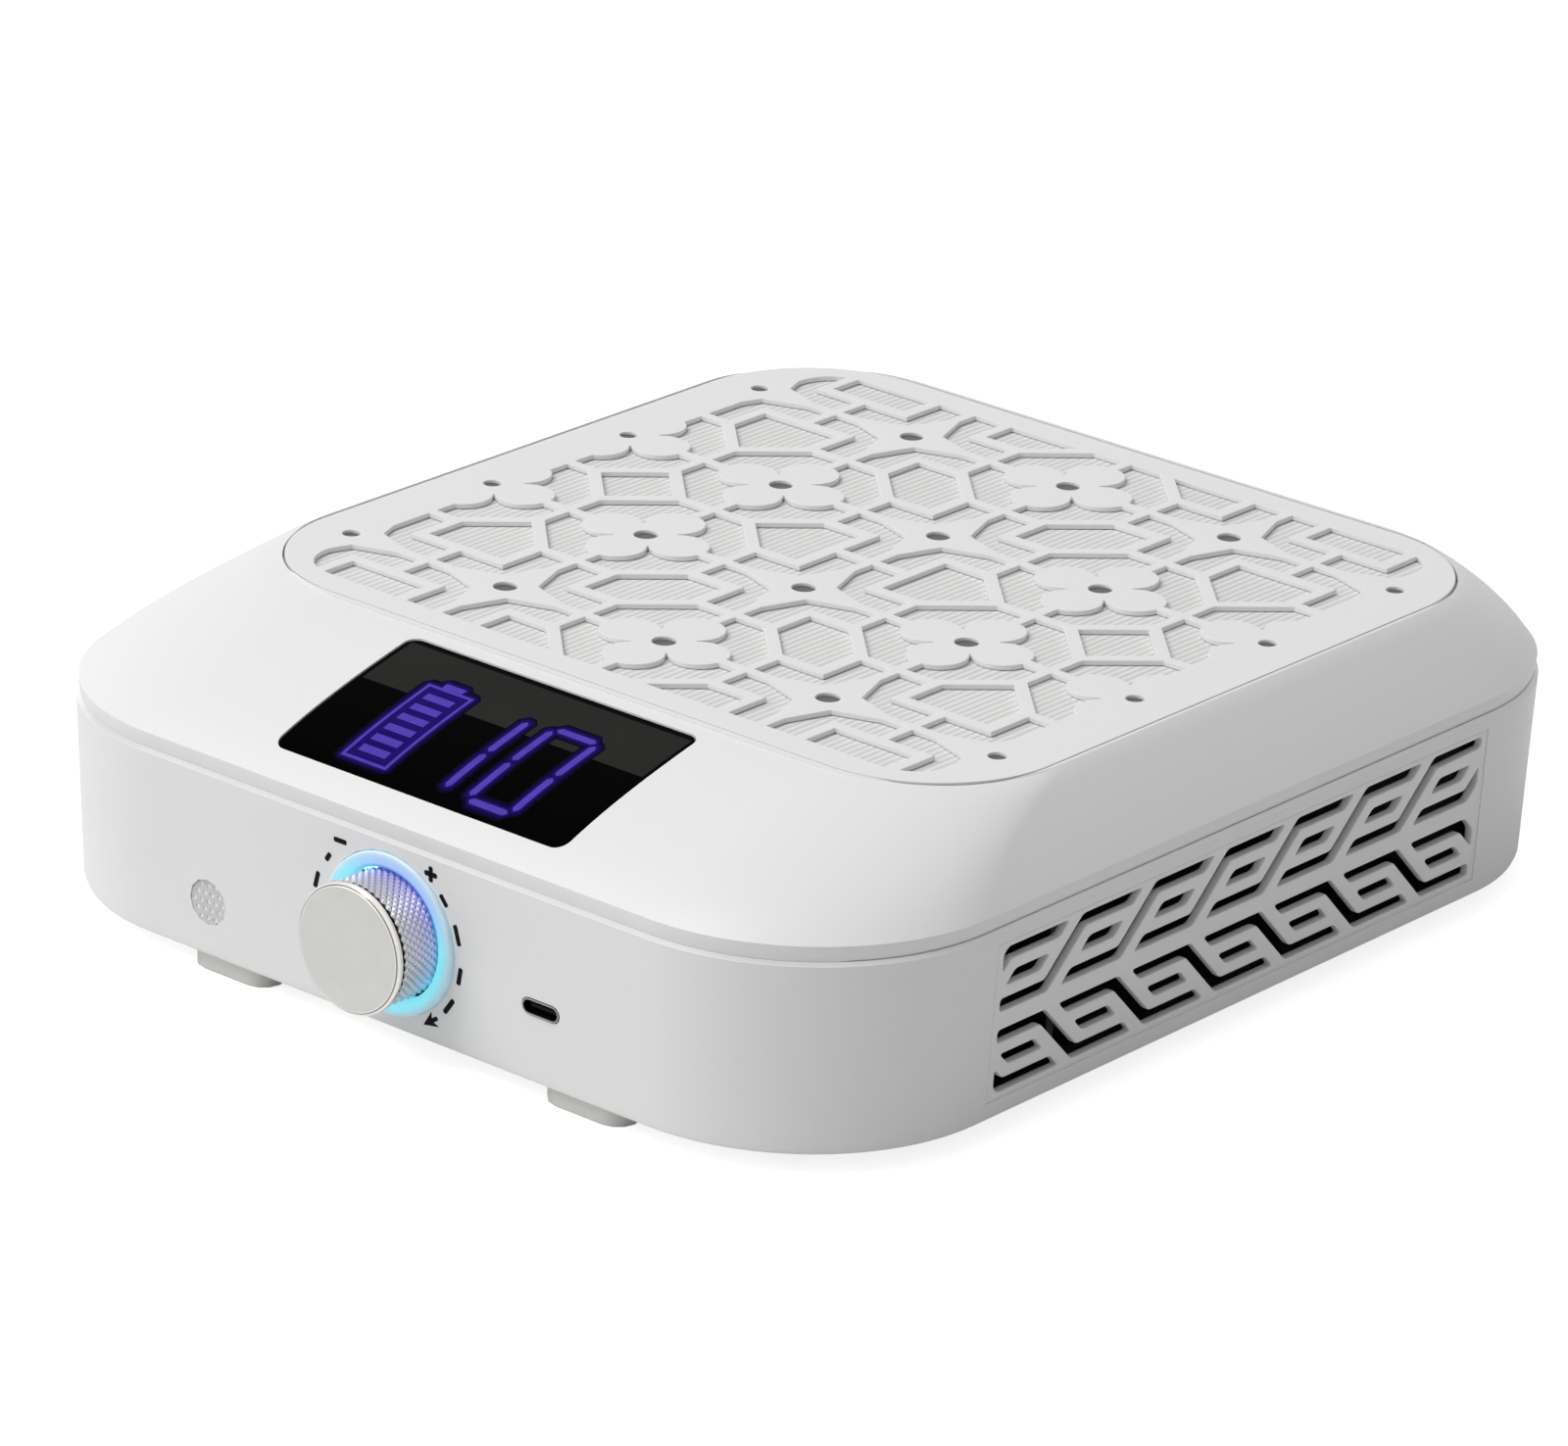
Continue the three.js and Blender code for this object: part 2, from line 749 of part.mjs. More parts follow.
function sideInsert(side) {
  const skin = baseHull.subtract(draftedHull(baseZ - cutOver, partingZ + cutOver, insertThickness));
  const block = insertBlock(side, 0, -cutOver, wall + baseDraft + cutOver);
  let insert = skin.intersect(block);
  const rowHeight = slotHeight * slotLevels;
  const patternTop = partingZ - patternTopDrop;
  const patternBottom = patternTop - rowHeight * 2 - slotHeight * centreBarShare;
  const depthStart = bodyWidth / 2 - wall - baseDraft - cutOver;
  const depthEnd = bodyWidth / 2 + cutOver;
  const field = boxOf(
    side > 0 ? depthStart : -depthEnd,
    side > 0 ? depthEnd : -depthStart,
    latticeY - patternFront,
    latticeY + patternBack,
    patternBottom,
    patternTop,
  );
  for (let index = -1; index <= patternUnits; index += 1) {
    for (const outline of slotOutlines(index)) {
      for (const upper of [true, false]) {
        const points = outline.map(([along, up]) => {
          const z = upper ? patternTop - rowHeight + up : patternBottom + rowHeight - up;
          return new THREE.Vector2(latticeY + along, z);
        });
        const slot = prismOf(points, depthStart, depthEnd);
        // Cyclic turn from the drawing plane to the side wall
        const turned = slot.rotate([90, 0, 90]);
        const placed = side > 0 ? turned : turned.mirror([1, 0, 0]);
        insert = insert.subtract(placed.intersect(field));
      }
    }
  }
  return insert;
}

piece("side_grille_right", sideInsert(1), "white");
piece("side_grille_left", sideInsert(-1), "white");

// Top cover
const coverSkin = coverHull(0, 0, partingZ + partingGap / 2);

function lensBlock(margin, bottom, top) {
  return roundedBox(
    -lensHalfX - margin,
    lensHalfX + margin,
    latticeY - lensBottomFromLattice - margin,
    latticeY - lensTopFromLattice + margin,
    bottom,
    top,
    lensRadius + margin,
    tinySteps / 2,
  );
}

function centredBlock(halfX, halfY, radius, bottom, top, steps = cornerSteps) {
  return roundedBox(-halfX, halfX, latticeY - halfY, latticeY + halfY, bottom, top, radius, steps);
}

function topCover() {
  const hollow = coverHull(wall, wall, partingZ - cutOver);
  let cover = coverSkin.subtract(hollow);
  const slab = centredBlock(panelHalfX + wall, panelHalfY + wall, panelRadius + wall, ledgeUnderZ, topZ);
  cover = cover.add(slab.intersect(coverSkin));
  for (const [x, y] of casePosts) {
    const bottom = partingZ + partingGap / 2;
    const boss = discOf(x, y, bottom, topZ, caseBossRadius, tinySteps);
    const holeTop = partingZ + caseScrewReach + seatGap;
    const hole = discOf(x, y, bottom - cutOver, holeTop, caseShankRadius + pinGap, tinySteps);
    cover = cover.add(boss.intersect(coverSkin)).subtract(hole);
  }
  const ledgeTop = lensThickness + lensGap * 2;
  const ledgeLower = ledgeTop + lensLedgeThickness;
  const ledgeBand = loweredSkin(ledgeTop).subtract(loweredSkin(ledgeLower));
  cover = cover.add(ledgeBand.intersect(lensBlock(lensLedge, partingZ, topZ)));
  const lensCut = lensBlock(lensGap, partingZ, topZ + cutOver).subtract(loweredSkin(ledgeTop));
  cover = cover.subtract(lensCut);
  cover = cover.subtract(lensBlock(-lensLedge, partingZ + partingGap, topZ + cutOver));
  const recess = centredBlock(
    panelHalfX + seatGap,
    panelHalfY + seatGap,
    panelRadius + seatGap,
    ledgeZ,
    topZ + cutOver,
  );
  const bay = centredBlock(bayHalfX, bayHalfY, bayRadius, partingZ - cutOver, topZ, sharpSteps);
  cover = cover.subtract(recess).subtract(bay);
  return cover;
}

function loweredSkin(drop) {
  return coverHull(0, drop, partingZ - cutOver * 3);
}

piece("top_cover", topCover(), "white");

// Grille panel. Flowers and four pointed stars sit on the nodes, rings fill the squares.
const flowerNodes = new Set(["0,1", "0,2", "1,1", "1,2", "2,0", "2,3", "3,1", "3,2", "4,1", "4,2"]);

function nodeX(column) {
  return (column - (latticeColumns - 1) / 2) * latticePitch;
}

function nodeY(row) {
  return latticeY + (row - (latticeRows - 1) / 2) * latticePitch;
}

function isFlower(column, row) {
  return flowerNodes.has(`${column},${row}`);
}

// Square outline whose corners towards a flower are cut off
function ringOutline(column, row, half, cornerReach) {
  const cut = 2 * half - cornerReach;
  const turns = [
    [1, 1],
    [-1, 1],
    [-1, -1],
    [1, -1],
  ];
  const centreX = nodeX(column) + latticePitch / 2;
  const centreY = nodeY(row) + latticePitch / 2;
  const outline = [];
  const push = (x, y) => {
    const point = new THREE.Vector2(centreX + x, centreY + y);
    const last = outline[outline.length - 1];
    const first = outline[0];
    const close = (other) => other && other.distanceTo(point) < weldDistance;
    if (!close(last) && !close(first)) {
      outline.push(point);
    }
  };
  for (const [signX, signY] of turns) {
    const flower = isFlower(column + (signX > 0 ? 1 : 0), row + (signY > 0 ? 1 : 0));
    if (!flower) {
      push(signX * half, signY * half);
      continue;
    }
    const along = [signX * half, signY * (half - cut)];
    const across = [signX * (half - cut), signY * half];
    const order = signX === signY ? [along, across] : [across, along];
    for (const [x, y] of order) {
      push(x, y);
    }
  }
  return outline;
}

function latticeSolid() {
  const bottom = panelZ;
  const top = topZ;
  const members = [];
  const ringInner = ringInnerShare * latticePitch;
  const ringBar = ringBarShare * latticePitch;
  const ringHalf = ringInner + ringBar;
  const gridHalf = (gridBarShare * latticePitch) / 2;
  for (let column = 0; column + 1 < latticeColumns; column += 1) {
    for (let row = -1; row < latticeRows; row += 1) {
      const outer = ringOutline(column, row, ringHalf, ringInner + ringBar * Math.SQRT2);
      const inner = ringOutline(column, row, ringInner, ringInner);
      members.push(prismOf(outer, bottom, top, [inner.reverse()]));
    }
  }
  const farX = windowHalfX + latticeOverlap;
  const farY = windowHalfY + latticeOverlap;
  for (let column = 0; column < latticeColumns; column += 1) {
    const x = nodeX(column);
    members.push(boxOf(x - gridHalf, x + gridHalf, latticeY - farY, latticeY + farY, bottom, top));
  }
  for (let row = 0; row < latticeRows; row += 1) {
    const y = nodeY(row);
    members.push(boxOf(-farX, farX, y - gridHalf, y + gridHalf, bottom, top));
  }
  // Short bars that tie each ring to its neighbours and to the frame
  const reach = latticePitch / 2 - ringInner - ringBar / 2;
  for (let column = -1; column < latticeColumns; column += 1) {
    for (let row = -1; row < latticeRows; row += 1) {
      const x = nodeX(column) + latticePitch / 2;
      const y = nodeY(row) + latticePitch / 2;
      const edgeX = x + latticePitch / 2;
      const edgeY = y + latticePitch / 2;
      members.push(boxOf(edgeX - reach, edgeX + reach, y - gridHalf, y + gridHalf, bottom, top));
      members.push(boxOf(x - gridHalf, x + gridHalf, edgeY - reach, edgeY + reach, bottom, top));
    }
  }
  for (let column = 0; column < latticeColumns; column += 1) {
    for (let row = 0; row < latticeRows; row += 1) {
      members.push(...nodeMembers(column, row, bottom, top));
    }
  }
  return joinedOf(members);
}

function nodeMembers(column, row, bottom, top) {
  const x = nodeX(column);
  const y = nodeY(row);
  if (isFlower(column, row)) {
    const offset = petalOffsetShare * latticePitch;
    const radius = petalRadiusShare * latticePitch;
    const petals = [
      [offset, 0],
      [-offset, 0],
      [0, offset],
      [0, -offset],
    ].map(([stepX, stepY]) => discOf(x + stepX, y + stepY, bottom, top, radius, petalSteps));
    const core = discOf(x, y, bottom, top, flowerCoreShare * latticePitch, coreSteps);
    return [...petals, core];
  }
  const long = starLengthShare * latticePitch;
  const wide = starWidthShare * latticePitch;
  return [
    [long, wide],
    [wide, long],
  ].map(([halfX, halfY]) => {
    const diamond = [
      new THREE.Vector2(x + halfX, y),
      new THREE.Vector2(x, y + halfY),
      new THREE.Vector2(x - halfX, y),
      new THREE.Vector2(x, y - halfY),
    ];
    return prismOf(diamond, bottom, top);
  });
}

function grillePanel() {
  const plate = centredBlock(panelHalfX, panelHalfY, panelRadius, panelZ, topZ);
  const window = centredBlock(windowHalfX, windowHalfY, windowRadius, panelZ - cutOver, topZ + cutOver);
  const field = centredBlock(
    windowHalfX + latticeOverlap,
    windowHalfY + latticeOverlap,
    windowRadius + latticeOverlap,
    panelZ - cutOver,
    topZ + cutOver,
  );
  let panel = plate.subtract(window).add(latticeSolid().intersect(field));
  for (let column = 0; column < latticeColumns; column += 1) {
    for (let row = 0; row < latticeRows; row += 1) {
      const inBorder = column === 0 || column + 1 === latticeColumns;
      const radius = inBorder ? edgeHoleRadius : nodeHoleShare * latticePitch;
      const hole = discOf(nodeX(column), nodeY(row), panelZ - cutOver, topZ + cutOver, radius, tinySteps);
      panel = panel.subtract(hole);
    }
  }
  return panel;
}

piece("grille_panel", grillePanel(), "white");

// Filter cartridge
const frameHalfX = bayHalfX - slideGap;
const frameHalfY = bayHalfY - slideGap;
const frameRadius = bayRadius - slideGap;

function filterFrame() {
  const outer = centredBlock(frameHalfX, frameHalfY, frameRadius, filterZ, filterTopZ, sharpSteps);
  const inner = centredBlock(
    frameHalfX - filterFrameWall,
    frameHalfY - filterFrameWall,
    frameRadius - filterFrameWall,
    filterZ - cutOver,
    filterTopZ + cutOver,
    sharpSteps,
  );
  let frame = outer.subtract(inner);
  const ribTop = filterZ + filterRibHeight;
  for (const side of [1, -1]) {
    const x = side * filterRibShare * frameHalfX;
    const halfRib = filterRibWidth / 2;
    const front = latticeY - frameHalfY + filterFrameWall / 2;
    const back = latticeY + frameHalfY - filterFrameWall / 2;
    frame = frame.add(boxOf(x - halfRib, x + halfRib, front, back, filterZ, ribTop));
    const y = latticeY + side * filterRibShare * frameHalfY;
    const reach = frameHalfX - filterFrameWall / 2;
    frame = frame.add(boxOf(-reach, reach, y - halfRib, y + halfRib, filterZ, ribTop));
  }
  return frame;
}

// Folded paper, drawn as one band and run from front to back
function filterMedia() {
  const half = frameHalfX - filterFrameWall - slideGap;
  const pleats = Math.floor((2 * half) / pleatPitch);
  const start = (-pleats * pleatPitch) / 2;
  const low = filterZ + filterRibHeight + seatGap;
  const high = filterTopZ;
  // Height of the paper at a fold, from its thickness and the steepness of the folds
  const steepness = (high - low) / (pleatPitch / 2);
  const foldHeight = pleatPaper * steepness;
  const lower = [];
  const upper = [];
  for (let i = 0; i <= pleats * 2; i += 1) {
    const x = start + (i * pleatPitch) / 2;
    const ridge = i % 2 === 1;
    lower.push(new THREE.Vector2(x, ridge ? high - foldHeight : low));
    upper.push(new THREE.Vector2(x, ridge ? high : low + foldHeight));
  }
  const outline = [...lower, ...upper.reverse()];
  const length = 2 * (frameHalfY - filterFrameWall - slideGap);
  const band = prismOf(outline, -length / 2, length / 2);
  return band.rotate([90, 0, 0]).translate([0, latticeY, 0]);
}

piece("filter_frame", filterFrame(), "offWhite");
piece("filter_media", filterMedia(), "paper");

function filterGasket() {
  const bottom = deckTopZ + seatGap;
  const top = bottom + gasketHeight;
  const outer = centredBlock(frameHalfX, frameHalfY, frameRadius, bottom, top, sharpSteps);
  const inner = centredBlock(
    frameHalfX - gasketWidth,
    frameHalfY - gasketWidth,
    frameRadius - gasketWidth / 2,
    bottom - cutOver,
    top + cutOver,
    sharpSteps,
  );
  return outer.subtract(inner);
}

piece("filter_gasket", filterGasket(), "foam");

// Filter deck with its bay walls and the guard over the fan inlet
function filterDeck() {
  const wallTop = ledgeUnderZ - seatGap;
  const outer = centredBlock(
    bayHalfX + trayWall,
    bayHalfY + trayWall - seatGap,
    bayRadius + trayWall,
    deckZ,
    wallTop,
    sharpSteps,
  );
  const inner = centredBlock(bayHalfX, bayHalfY, bayRadius, deckTopZ, wallTop + cutOver, sharpSteps);
  let deck = outer.subtract(inner);
  deck = deck.subtract(discOf(0, latticeY, deckZ - cutOver, deckTopZ + cutOver, inletRadius));
  const guardInner = guardRingRadius - guardBar;
  deck = deck.add(tubeOf(0, latticeY, deckZ, deckTopZ, guardInner, guardRingRadius));
  const spokes = hexSteps / 2;
  for (let i = 0; i < spokes; i += 1) {
    const length = inletRadius + guardBar;
    const spoke = boxOf(-length, length, -guardBar / 2, guardBar / 2, deckZ, deckTopZ);
    const angle = (180 * i) / spokes;
    deck = deck.add(spoke.rotate([0, 0, angle]).translate([0, latticeY, 0]));
  }
  for (const [x, y] of deckPlaces) {
    const side = Math.sign(x);
    const near = side * (bayHalfX + trayWall / 2);
    const far = side * (bayHalfX + trayWall + trayTabReach);
    const tab = boxOf(
      Math.min(near, far),
      Math.max(near, far),
      y - trayTabWidth / 2,
      y + trayTabWidth / 2,
      deckZ,
      deckTopZ,
    );
    const hole = discOf(x, y, deckZ - cutOver, deckTopZ + cutOver, caseShankRadius + pinGap, tinySteps);
    deck = deck.add(tab).subtract(hole);
  }
  return deck;
}

piece("filter_deck", filterDeck(), "offWhite");

// Fan housing that carries the motor and leads the air to both sides
const fanPlateZ = floorZ + seatGap;
const fanPlateTopZ = fanPlateZ + fanPlateThickness;

function fanHousing() {
  const scrollOuter = scrollInnerRadius + scrollWall;
  const scrollTop = deckZ - seatGap;
  let housing = discOf(0, latticeY, fanPlateZ, fanPlateTopZ, scrollOuter, scrollSteps);
  const ring = tubeOf(0, latticeY, fanPlateZ, scrollTop, scrollInnerRadius, scrollOuter, scrollSteps);
  const mouth = boxOf(
    -scrollOuter - cutOver,
    scrollOuter + cutOver,
    latticeY - ductHalfStart,
    latticeY + ductHalfStart,
    fanPlateTopZ,
    scrollTop + cutOver,
  );
  housing = housing.add(ring.subtract(mouth));
  const startX = Math.sqrt(scrollInnerRadius * scrollInnerRadius - ductHalfStart * ductHalfStart);
  for (const side of [1, -1]) {
    for (const end of [1, -1]) {
      const corners = [
        [startX, ductHalfStart],
        [ductReach, ductHalfEnd],
        [ductReach, ductHalfEnd + scrollWall],
        [startX, ductHalfStart + scrollWall * ductRootShare],
      ];
      const outline = corners.map(([x, y]) => new THREE.Vector2(side * x, latticeY + end * y));
      housing = housing.add(prismOf(outline, fanPlateZ, scrollTop));
    }
  }
  return housing;
}

piece("fan_housing", fanHousing(), "darkPlastic");

// Motor, from the fixed tube outwards
const motorZ = fanPlateTopZ + seatGap;
const motorFlangeTopZ = motorZ + motorFlange;
const plateZ = floorZ + impellerLift;
const bladeZ = plateZ + impellerPlate;
const bladeTopZ = bladeZ + bladeHeight;
const hubInnerRadius = hubOuterRadius - hubWall;
const canOuterRadius = hubInnerRadius - seatGap;
const canInnerRadius = canOuterRadius - canWall;
const magnetOuterRadius = canInnerRadius - seatGap;
const magnetInnerRadius = magnetOuterRadius - magnetRingWall;
const statorRadius = magnetInnerRadius - airGap;
const tubeInnerRadius = bearingOuterRadius + pinGap;
const tubeOuterRadius = tubeInnerRadius + bearingTubeWall;
const statorZ = motorFlangeTopZ + airGap * 2;
const tubeTopZ = plateZ + bladeHeight * tubeRiseShare;
const canTopZ = tubeTopZ + airGap + canWall;
const canBottomZ = motorFlangeTopZ + airGap;
const hubTopZ = canTopZ + seatGap + hubWall;

function motorBase() {
  const flange = discOf(0, latticeY, motorZ, motorFlangeTopZ, motorFlangeRadius);
  const tube = discOf(0, latticeY, motorZ, tubeTopZ, tubeOuterRadius, smallSteps);
  const boreZ = motorZ + motorFlange / 2;
  const bore = discOf(0, latticeY, boreZ, tubeTopZ + cutOver, tubeInnerRadius, smallSteps);
  return flange.add(tube).subtract(bore);
}

piece("motor_base", motorBase(), "steel");

// Wound stator core
function statorCore() {
  const top = tubeTopZ - airGap;
  return tubeOf(0, latticeY, statorZ, top, tubeOuterRadius + pinGap, statorRadius);
}

piece("motor_stator", statorCore(), "copper");

const lowerBearingZ = motorZ + motorFlange / 2 + seatGap;
const upperBearingZ = tubeTopZ - bearingHeight;
[
  ["motor_bearing_lower", lowerBearingZ],
  ["motor_bearing_upper", upperBearingZ],
].forEach(([name, z]) => {
  const inner = shaftRadius + pinGap;
  piece(name, tubeOf(0, latticeY, z, z + bearingHeight, inner, bearingOuterRadius, smallSteps), "steel");
});

const shaftTopZ = canTopZ;
piece("fan_shaft", discOf(0, latticeY, lowerBearingZ, shaftTopZ, shaftRadius, tinySteps), "steel");

function rotorCan() {
  const cup = discOf(0, latticeY, canBottomZ, canTopZ, canOuterRadius);
  const hollow = discOf(0, latticeY, canBottomZ - cutOver, canTopZ - canWall, canInnerRadius);
  const bore = discOf(0, latticeY, canBottomZ, canTopZ + cutOver, shaftRadius + pinGap, smallSteps);
  return cup.subtract(hollow).subtract(bore);
}

piece("rotor_can", rotorCan(), "steel");
const magnetTopZ = canTopZ - canWall - seatGap;
const magnetRing = tubeOf(0, latticeY, canBottomZ, magnetTopZ, magnetInnerRadius, magnetOuterRadius);
piece("rotor_magnet_ring", magnetRing, "magnet");

// Impeller with forward curved blades
function bladeOutline() {
  const outer = [];
  const inner = [];
  const span = impellerRadius - impellerEyeRadius;
  for (let i = 0; i <= bladeSteps; i += 1) {
    const share = i / bladeSteps;
    const radius = impellerEyeRadius - bladeThickness / 2 + span * share;
    const angle = bladeSweepShare * fullTurn * share * share;
    const halfAngle = bladeThickness / 2 / radius;
    outer.push(polar(radius, angle + halfAngle));
    inner.push(polar(radius, angle - halfAngle));
  }
  return [...inner, ...outer.reverse()];
}

function polar(radius, angle) {
  return new THREE.Vector2(radius * Math.cos(angle), radius * Math.sin(angle));
}

function impeller() {
  const place = [0, latticeY, 0];
  const plate = discOf(0, latticeY, plateZ, bladeZ, impellerRadius);
  const hub = discOf(0, latticeY, plateZ, hubTopZ, hubOuterRadius);
  const hollow = discOf(0, latticeY, plateZ - cutOver, hubTopZ - hubWall, hubInnerRadius);
  const ringTop = bladeTopZ + impellerRingHeight;
  let wheel = plate.add(hub).subtract(hollow);
  wheel = wheel.add(tubeOf(0, latticeY, bladeTopZ, ringTop, impellerRingInner, impellerRadius));
  const blade = prismOf(bladeOutline(), bladeZ - impellerPlate / 2, bladeTopZ + impellerRingHeight / 2);
  for (let i = 0; i < bladeCount; i += 1) {
    wheel = wheel.add(blade.rotate([0, 0, (360 * i) / bladeCount]).translate(place));
  }
  return wheel;
}

piece("impeller", impeller(), "darkPlastic");

// Display lens and module under it
const lens = loweredSkin(lensGap).subtract(loweredSkin(lensGap + lensThickness));
piece("display_lens", lens.intersect(lensBlock(0, partingZ, topZ + cutOver)), "lens");

// Flat backed module whose front follows the lens
function displayModule() {
  const block = boxOf(-displayHalfX, displayHalfX, -displayHalfY, displayHalfY, 0, coverHeight);
  const middleY = latticeY - (lensTopFromLattice + lensBottomFromLattice) / 2;
  const frontZ = lipZ + (topZ - lipZ) * displayBackShare - lensThickness;
  const leaning = block.rotate([displayTilt, 0, 0]).translate([0, middleY, frontZ - displayHeight]);
  return leaning.intersect(loweredSkin(lensGap + lensThickness + displayClearance));
}

piece("display_module", displayModule(), "darkPlastic");

// Light ring around the knob
function lightRing() {
  const round = ringProud;
  const profile = [
    [ringInner, -ringNeckDepth],
    [ringNeckOuter, -ringNeckDepth],
    [ringNeckOuter, -ringSeatDepth + seatGap],
    [ringOuter, -ringSeatDepth + seatGap],
    [ringOuter, 0],
    [ringOuter - round, ringProud],
    [ringInner + round, ringProud],
    [ringInner, 0],
  ];
  return onFront(turnedOf(profile, knobSteps), 0, knobZ);
}

piece("light_ring", lightRing(), "diffuser");

// Knob grip with straight grooves, open behind
function knobGrip() {
  const front = knobReach - capThickness - seatGap;
  const outline = [];
  for (let i = 0; i < gripTeeth * 2; i += 1) {
    const radius = i % 2 === 0 ? gripRadius : gripRadius - gripGroove;
    outline.push(polar(radius, (fullTurn * i) / (gripTeeth * 2)));
  }
  const body = prismOf(outline, -gripRear, front);
  const innerRadius = gripRadius - gripGroove - gripWall;
  const rearHollow = discOf(0, 0, -gripRear - cutOver, gripWebBack, innerRadius);
  const frontHollow = discOf(0, 0, gripWebFront, front + cutOver, innerRadius);
  const hub = discOf(0, 0, -gripRear, gripWebBack + seatGap, gripHubRadius, smallSteps);
  const bore = shaftWithFlat(-gripRear - cutOver, gripWebBack + seatGap, pinGap);
  return onFront(body.subtract(rearHollow).subtract(frontHollow).add(hub).subtract(bore), 0, knobZ);
}

// Shaft with one flat, widened by a margin for the hole around it
function shaftWithFlat(bottom, top, margin) {
  const round = discOf(0, 0, bottom, top, knobShaftRadius + margin, smallSteps);
  const wide = knobShaftRadius * 2;
  const flat = boxOf(-wide, wide, knobShaftFlat + margin, wide, bottom - cutOver, top + cutOver);
  return round.subtract(flat);
}

piece("knob_grip", knobGrip(), "knobMetal");

function knobCap() {
  const back = knobReach - capThickness;
  const spigotRadius = gripRadius - gripGroove - gripWall - seatGap;
  const profile = [
    [0, gripWebFront + seatGap],
    [spigotRadius, gripWebFront + seatGap],
    [spigotRadius, back],
    [capRadius, back],
    [capRadius, knobReach - capBevel],
    [capRadius - capBevel, knobReach],
    [0, knobReach],
  ];
  return onFront(turnedOf(profile, knobSteps), 0, knobZ);
}

piece("knob_cap", knobCap(), "knobMetal");

// Rotary switch with its own push plunger
const encoderFront = ledBoardFront + ledBoardThickness + seatGap;
const encoderBack = encoderFront + encoderDepth;
const knobShaftBack = encoderBack - encoderCavityDepth - wall / 2;
piece("knob_shaft", onFront(shaftWithFlat(-knobShaftBack, gripWebBack, 0), 0, knobZ), "steel");

function encoderBody() {
  const block = boxOf(-encoderHalf, encoderHalf, -encoderHalf, encoderHalf, -encoderBack, -encoderFront);
  const bushingBack = -encoderFront - wall / 2;
  const bushing = discOf(0, 0, bushingBack, -encoderBushingFront, encoderBushingRadius, smallSteps);
  const bore = discOf(0, 0, -knobShaftBack - slideGap, cutOver, knobShaftRadius + pinGap, smallSteps);
  const well = discOf(
    0,
    0,
    -encoderBack + wall / 2 - slideGap,
    -knobShaftBack,
    encoderPlungerRadius + slideGap,
    smallSteps,
  );
  return onFront(block.add(bushing).subtract(bore).subtract(well), 0, knobZ);
}

piece("encoder_body", encoderBody(), "steel");
const plungerFront = knobShaftBack + seatGap / 2;
const plunger = discOf(
  0,
  0,
  -plungerFront - encoderPlungerHeight,
  -plungerFront,
  encoderPlungerRadius,
  smallSteps,
);
piece("encoder_plunger", onFront(plunger, 0, knobZ), "darkPlastic");

// Ring board with the lights that shine into the ring
const ledBoard = tubeOf(
  0,
  0,
  -ledBoardFront - ledBoardThickness,
  -ledBoardFront,
  encoderBushingRadius + seatGap,
  ledBoardRadius,
);
piece("led_board", onFront(ledBoard, 0, knobZ), "board");
for (let i = 0; i < ledCount; i += 1) {
  const half = ledSize / 2;
  const base = -ledBoardFront + pinGap;
  const chip = boxOf(ledOrbit - half, ledOrbit + half, -half, half, base, base + ledHeight);
  const turned = chip.rotate([0, 0, (360 * (i + 1 / 2)) / ledCount]);
  piece(`ring_led_${i + 1}`, onFront(turned, 0, knobZ), "led");
}

// Main board with its chip, capacitor and charging socket
const boardTopZ = boardZ + boardThickness;

function mainBoard() {
  const front = latticeY - boardFront;
  const back = latticeY - boardBack;
  let board = boxOf(boardLeft, boardRight, front, back, boardZ, boardTopZ);
  for (const [x, y] of boardPlaces) {
    board = board.subtract(discOf(x, y, boardZ - cutOver, boardTopZ + cutOver, shaftRadius, tinySteps));
  }
  return board;
}

piece("main_board", mainBoard(), "board");
const boardMiddleX = (boardLeft + boardRight) / 2;
const boardMiddleY = latticeY - (boardFront + boardBack) / 2;
const chipBottom = boardTopZ + pinGap;
const chipBlock = boxOf(
  boardMiddleX - chipSide / 2,
  boardMiddleX + chipSide / 2,
  boardMiddleY - chipSide / 2,
  boardMiddleY + chipSide / 2,
  chipBottom,
  chipBottom + chipHeight,
);
piece("control_chip", chipBlock, "darkPlastic");
const capacitorX = boardRight - chipSide;
const capacitor = discOf(
  capacitorX,
  boardMiddleY,
  chipBottom,
  chipBottom + capacitorHeight,
  capacitorRadius,
  smallSteps,
);
piece("power_capacitor", capacitor, "darkPlastic");

function chargeSocket() {
  const front = -baseDraft / 2;
  const shell = stadium(socketWidth, socketHeight, front - socketDepth, front);
  const mouthBack = front - socketDepth + socketBackWall;
  const mouthWidth = socketWidth - socketSkin * 2;
  const mouth = stadium(mouthWidth, socketHeight - socketSkin * 2, mouthBack, front + cutOver);
  const halfTongue = socketTongueWidth / 2;
  const tongueHalfHeight = socketTongueHeight / 2;
  const tongueFront = front - socketBackWall;
  const tongue = boxOf(
    -halfTongue,
    halfTongue,
    -tongueHalfHeight,
    tongueHalfHeight,
    mouthBack - socketBackWall / 2,
    tongueFront,
  );
  return onFront(shell.subtract(mouth).add(tongue), socketX, socketZ);
}

piece("charge_socket", chargeSocket(), "steel");

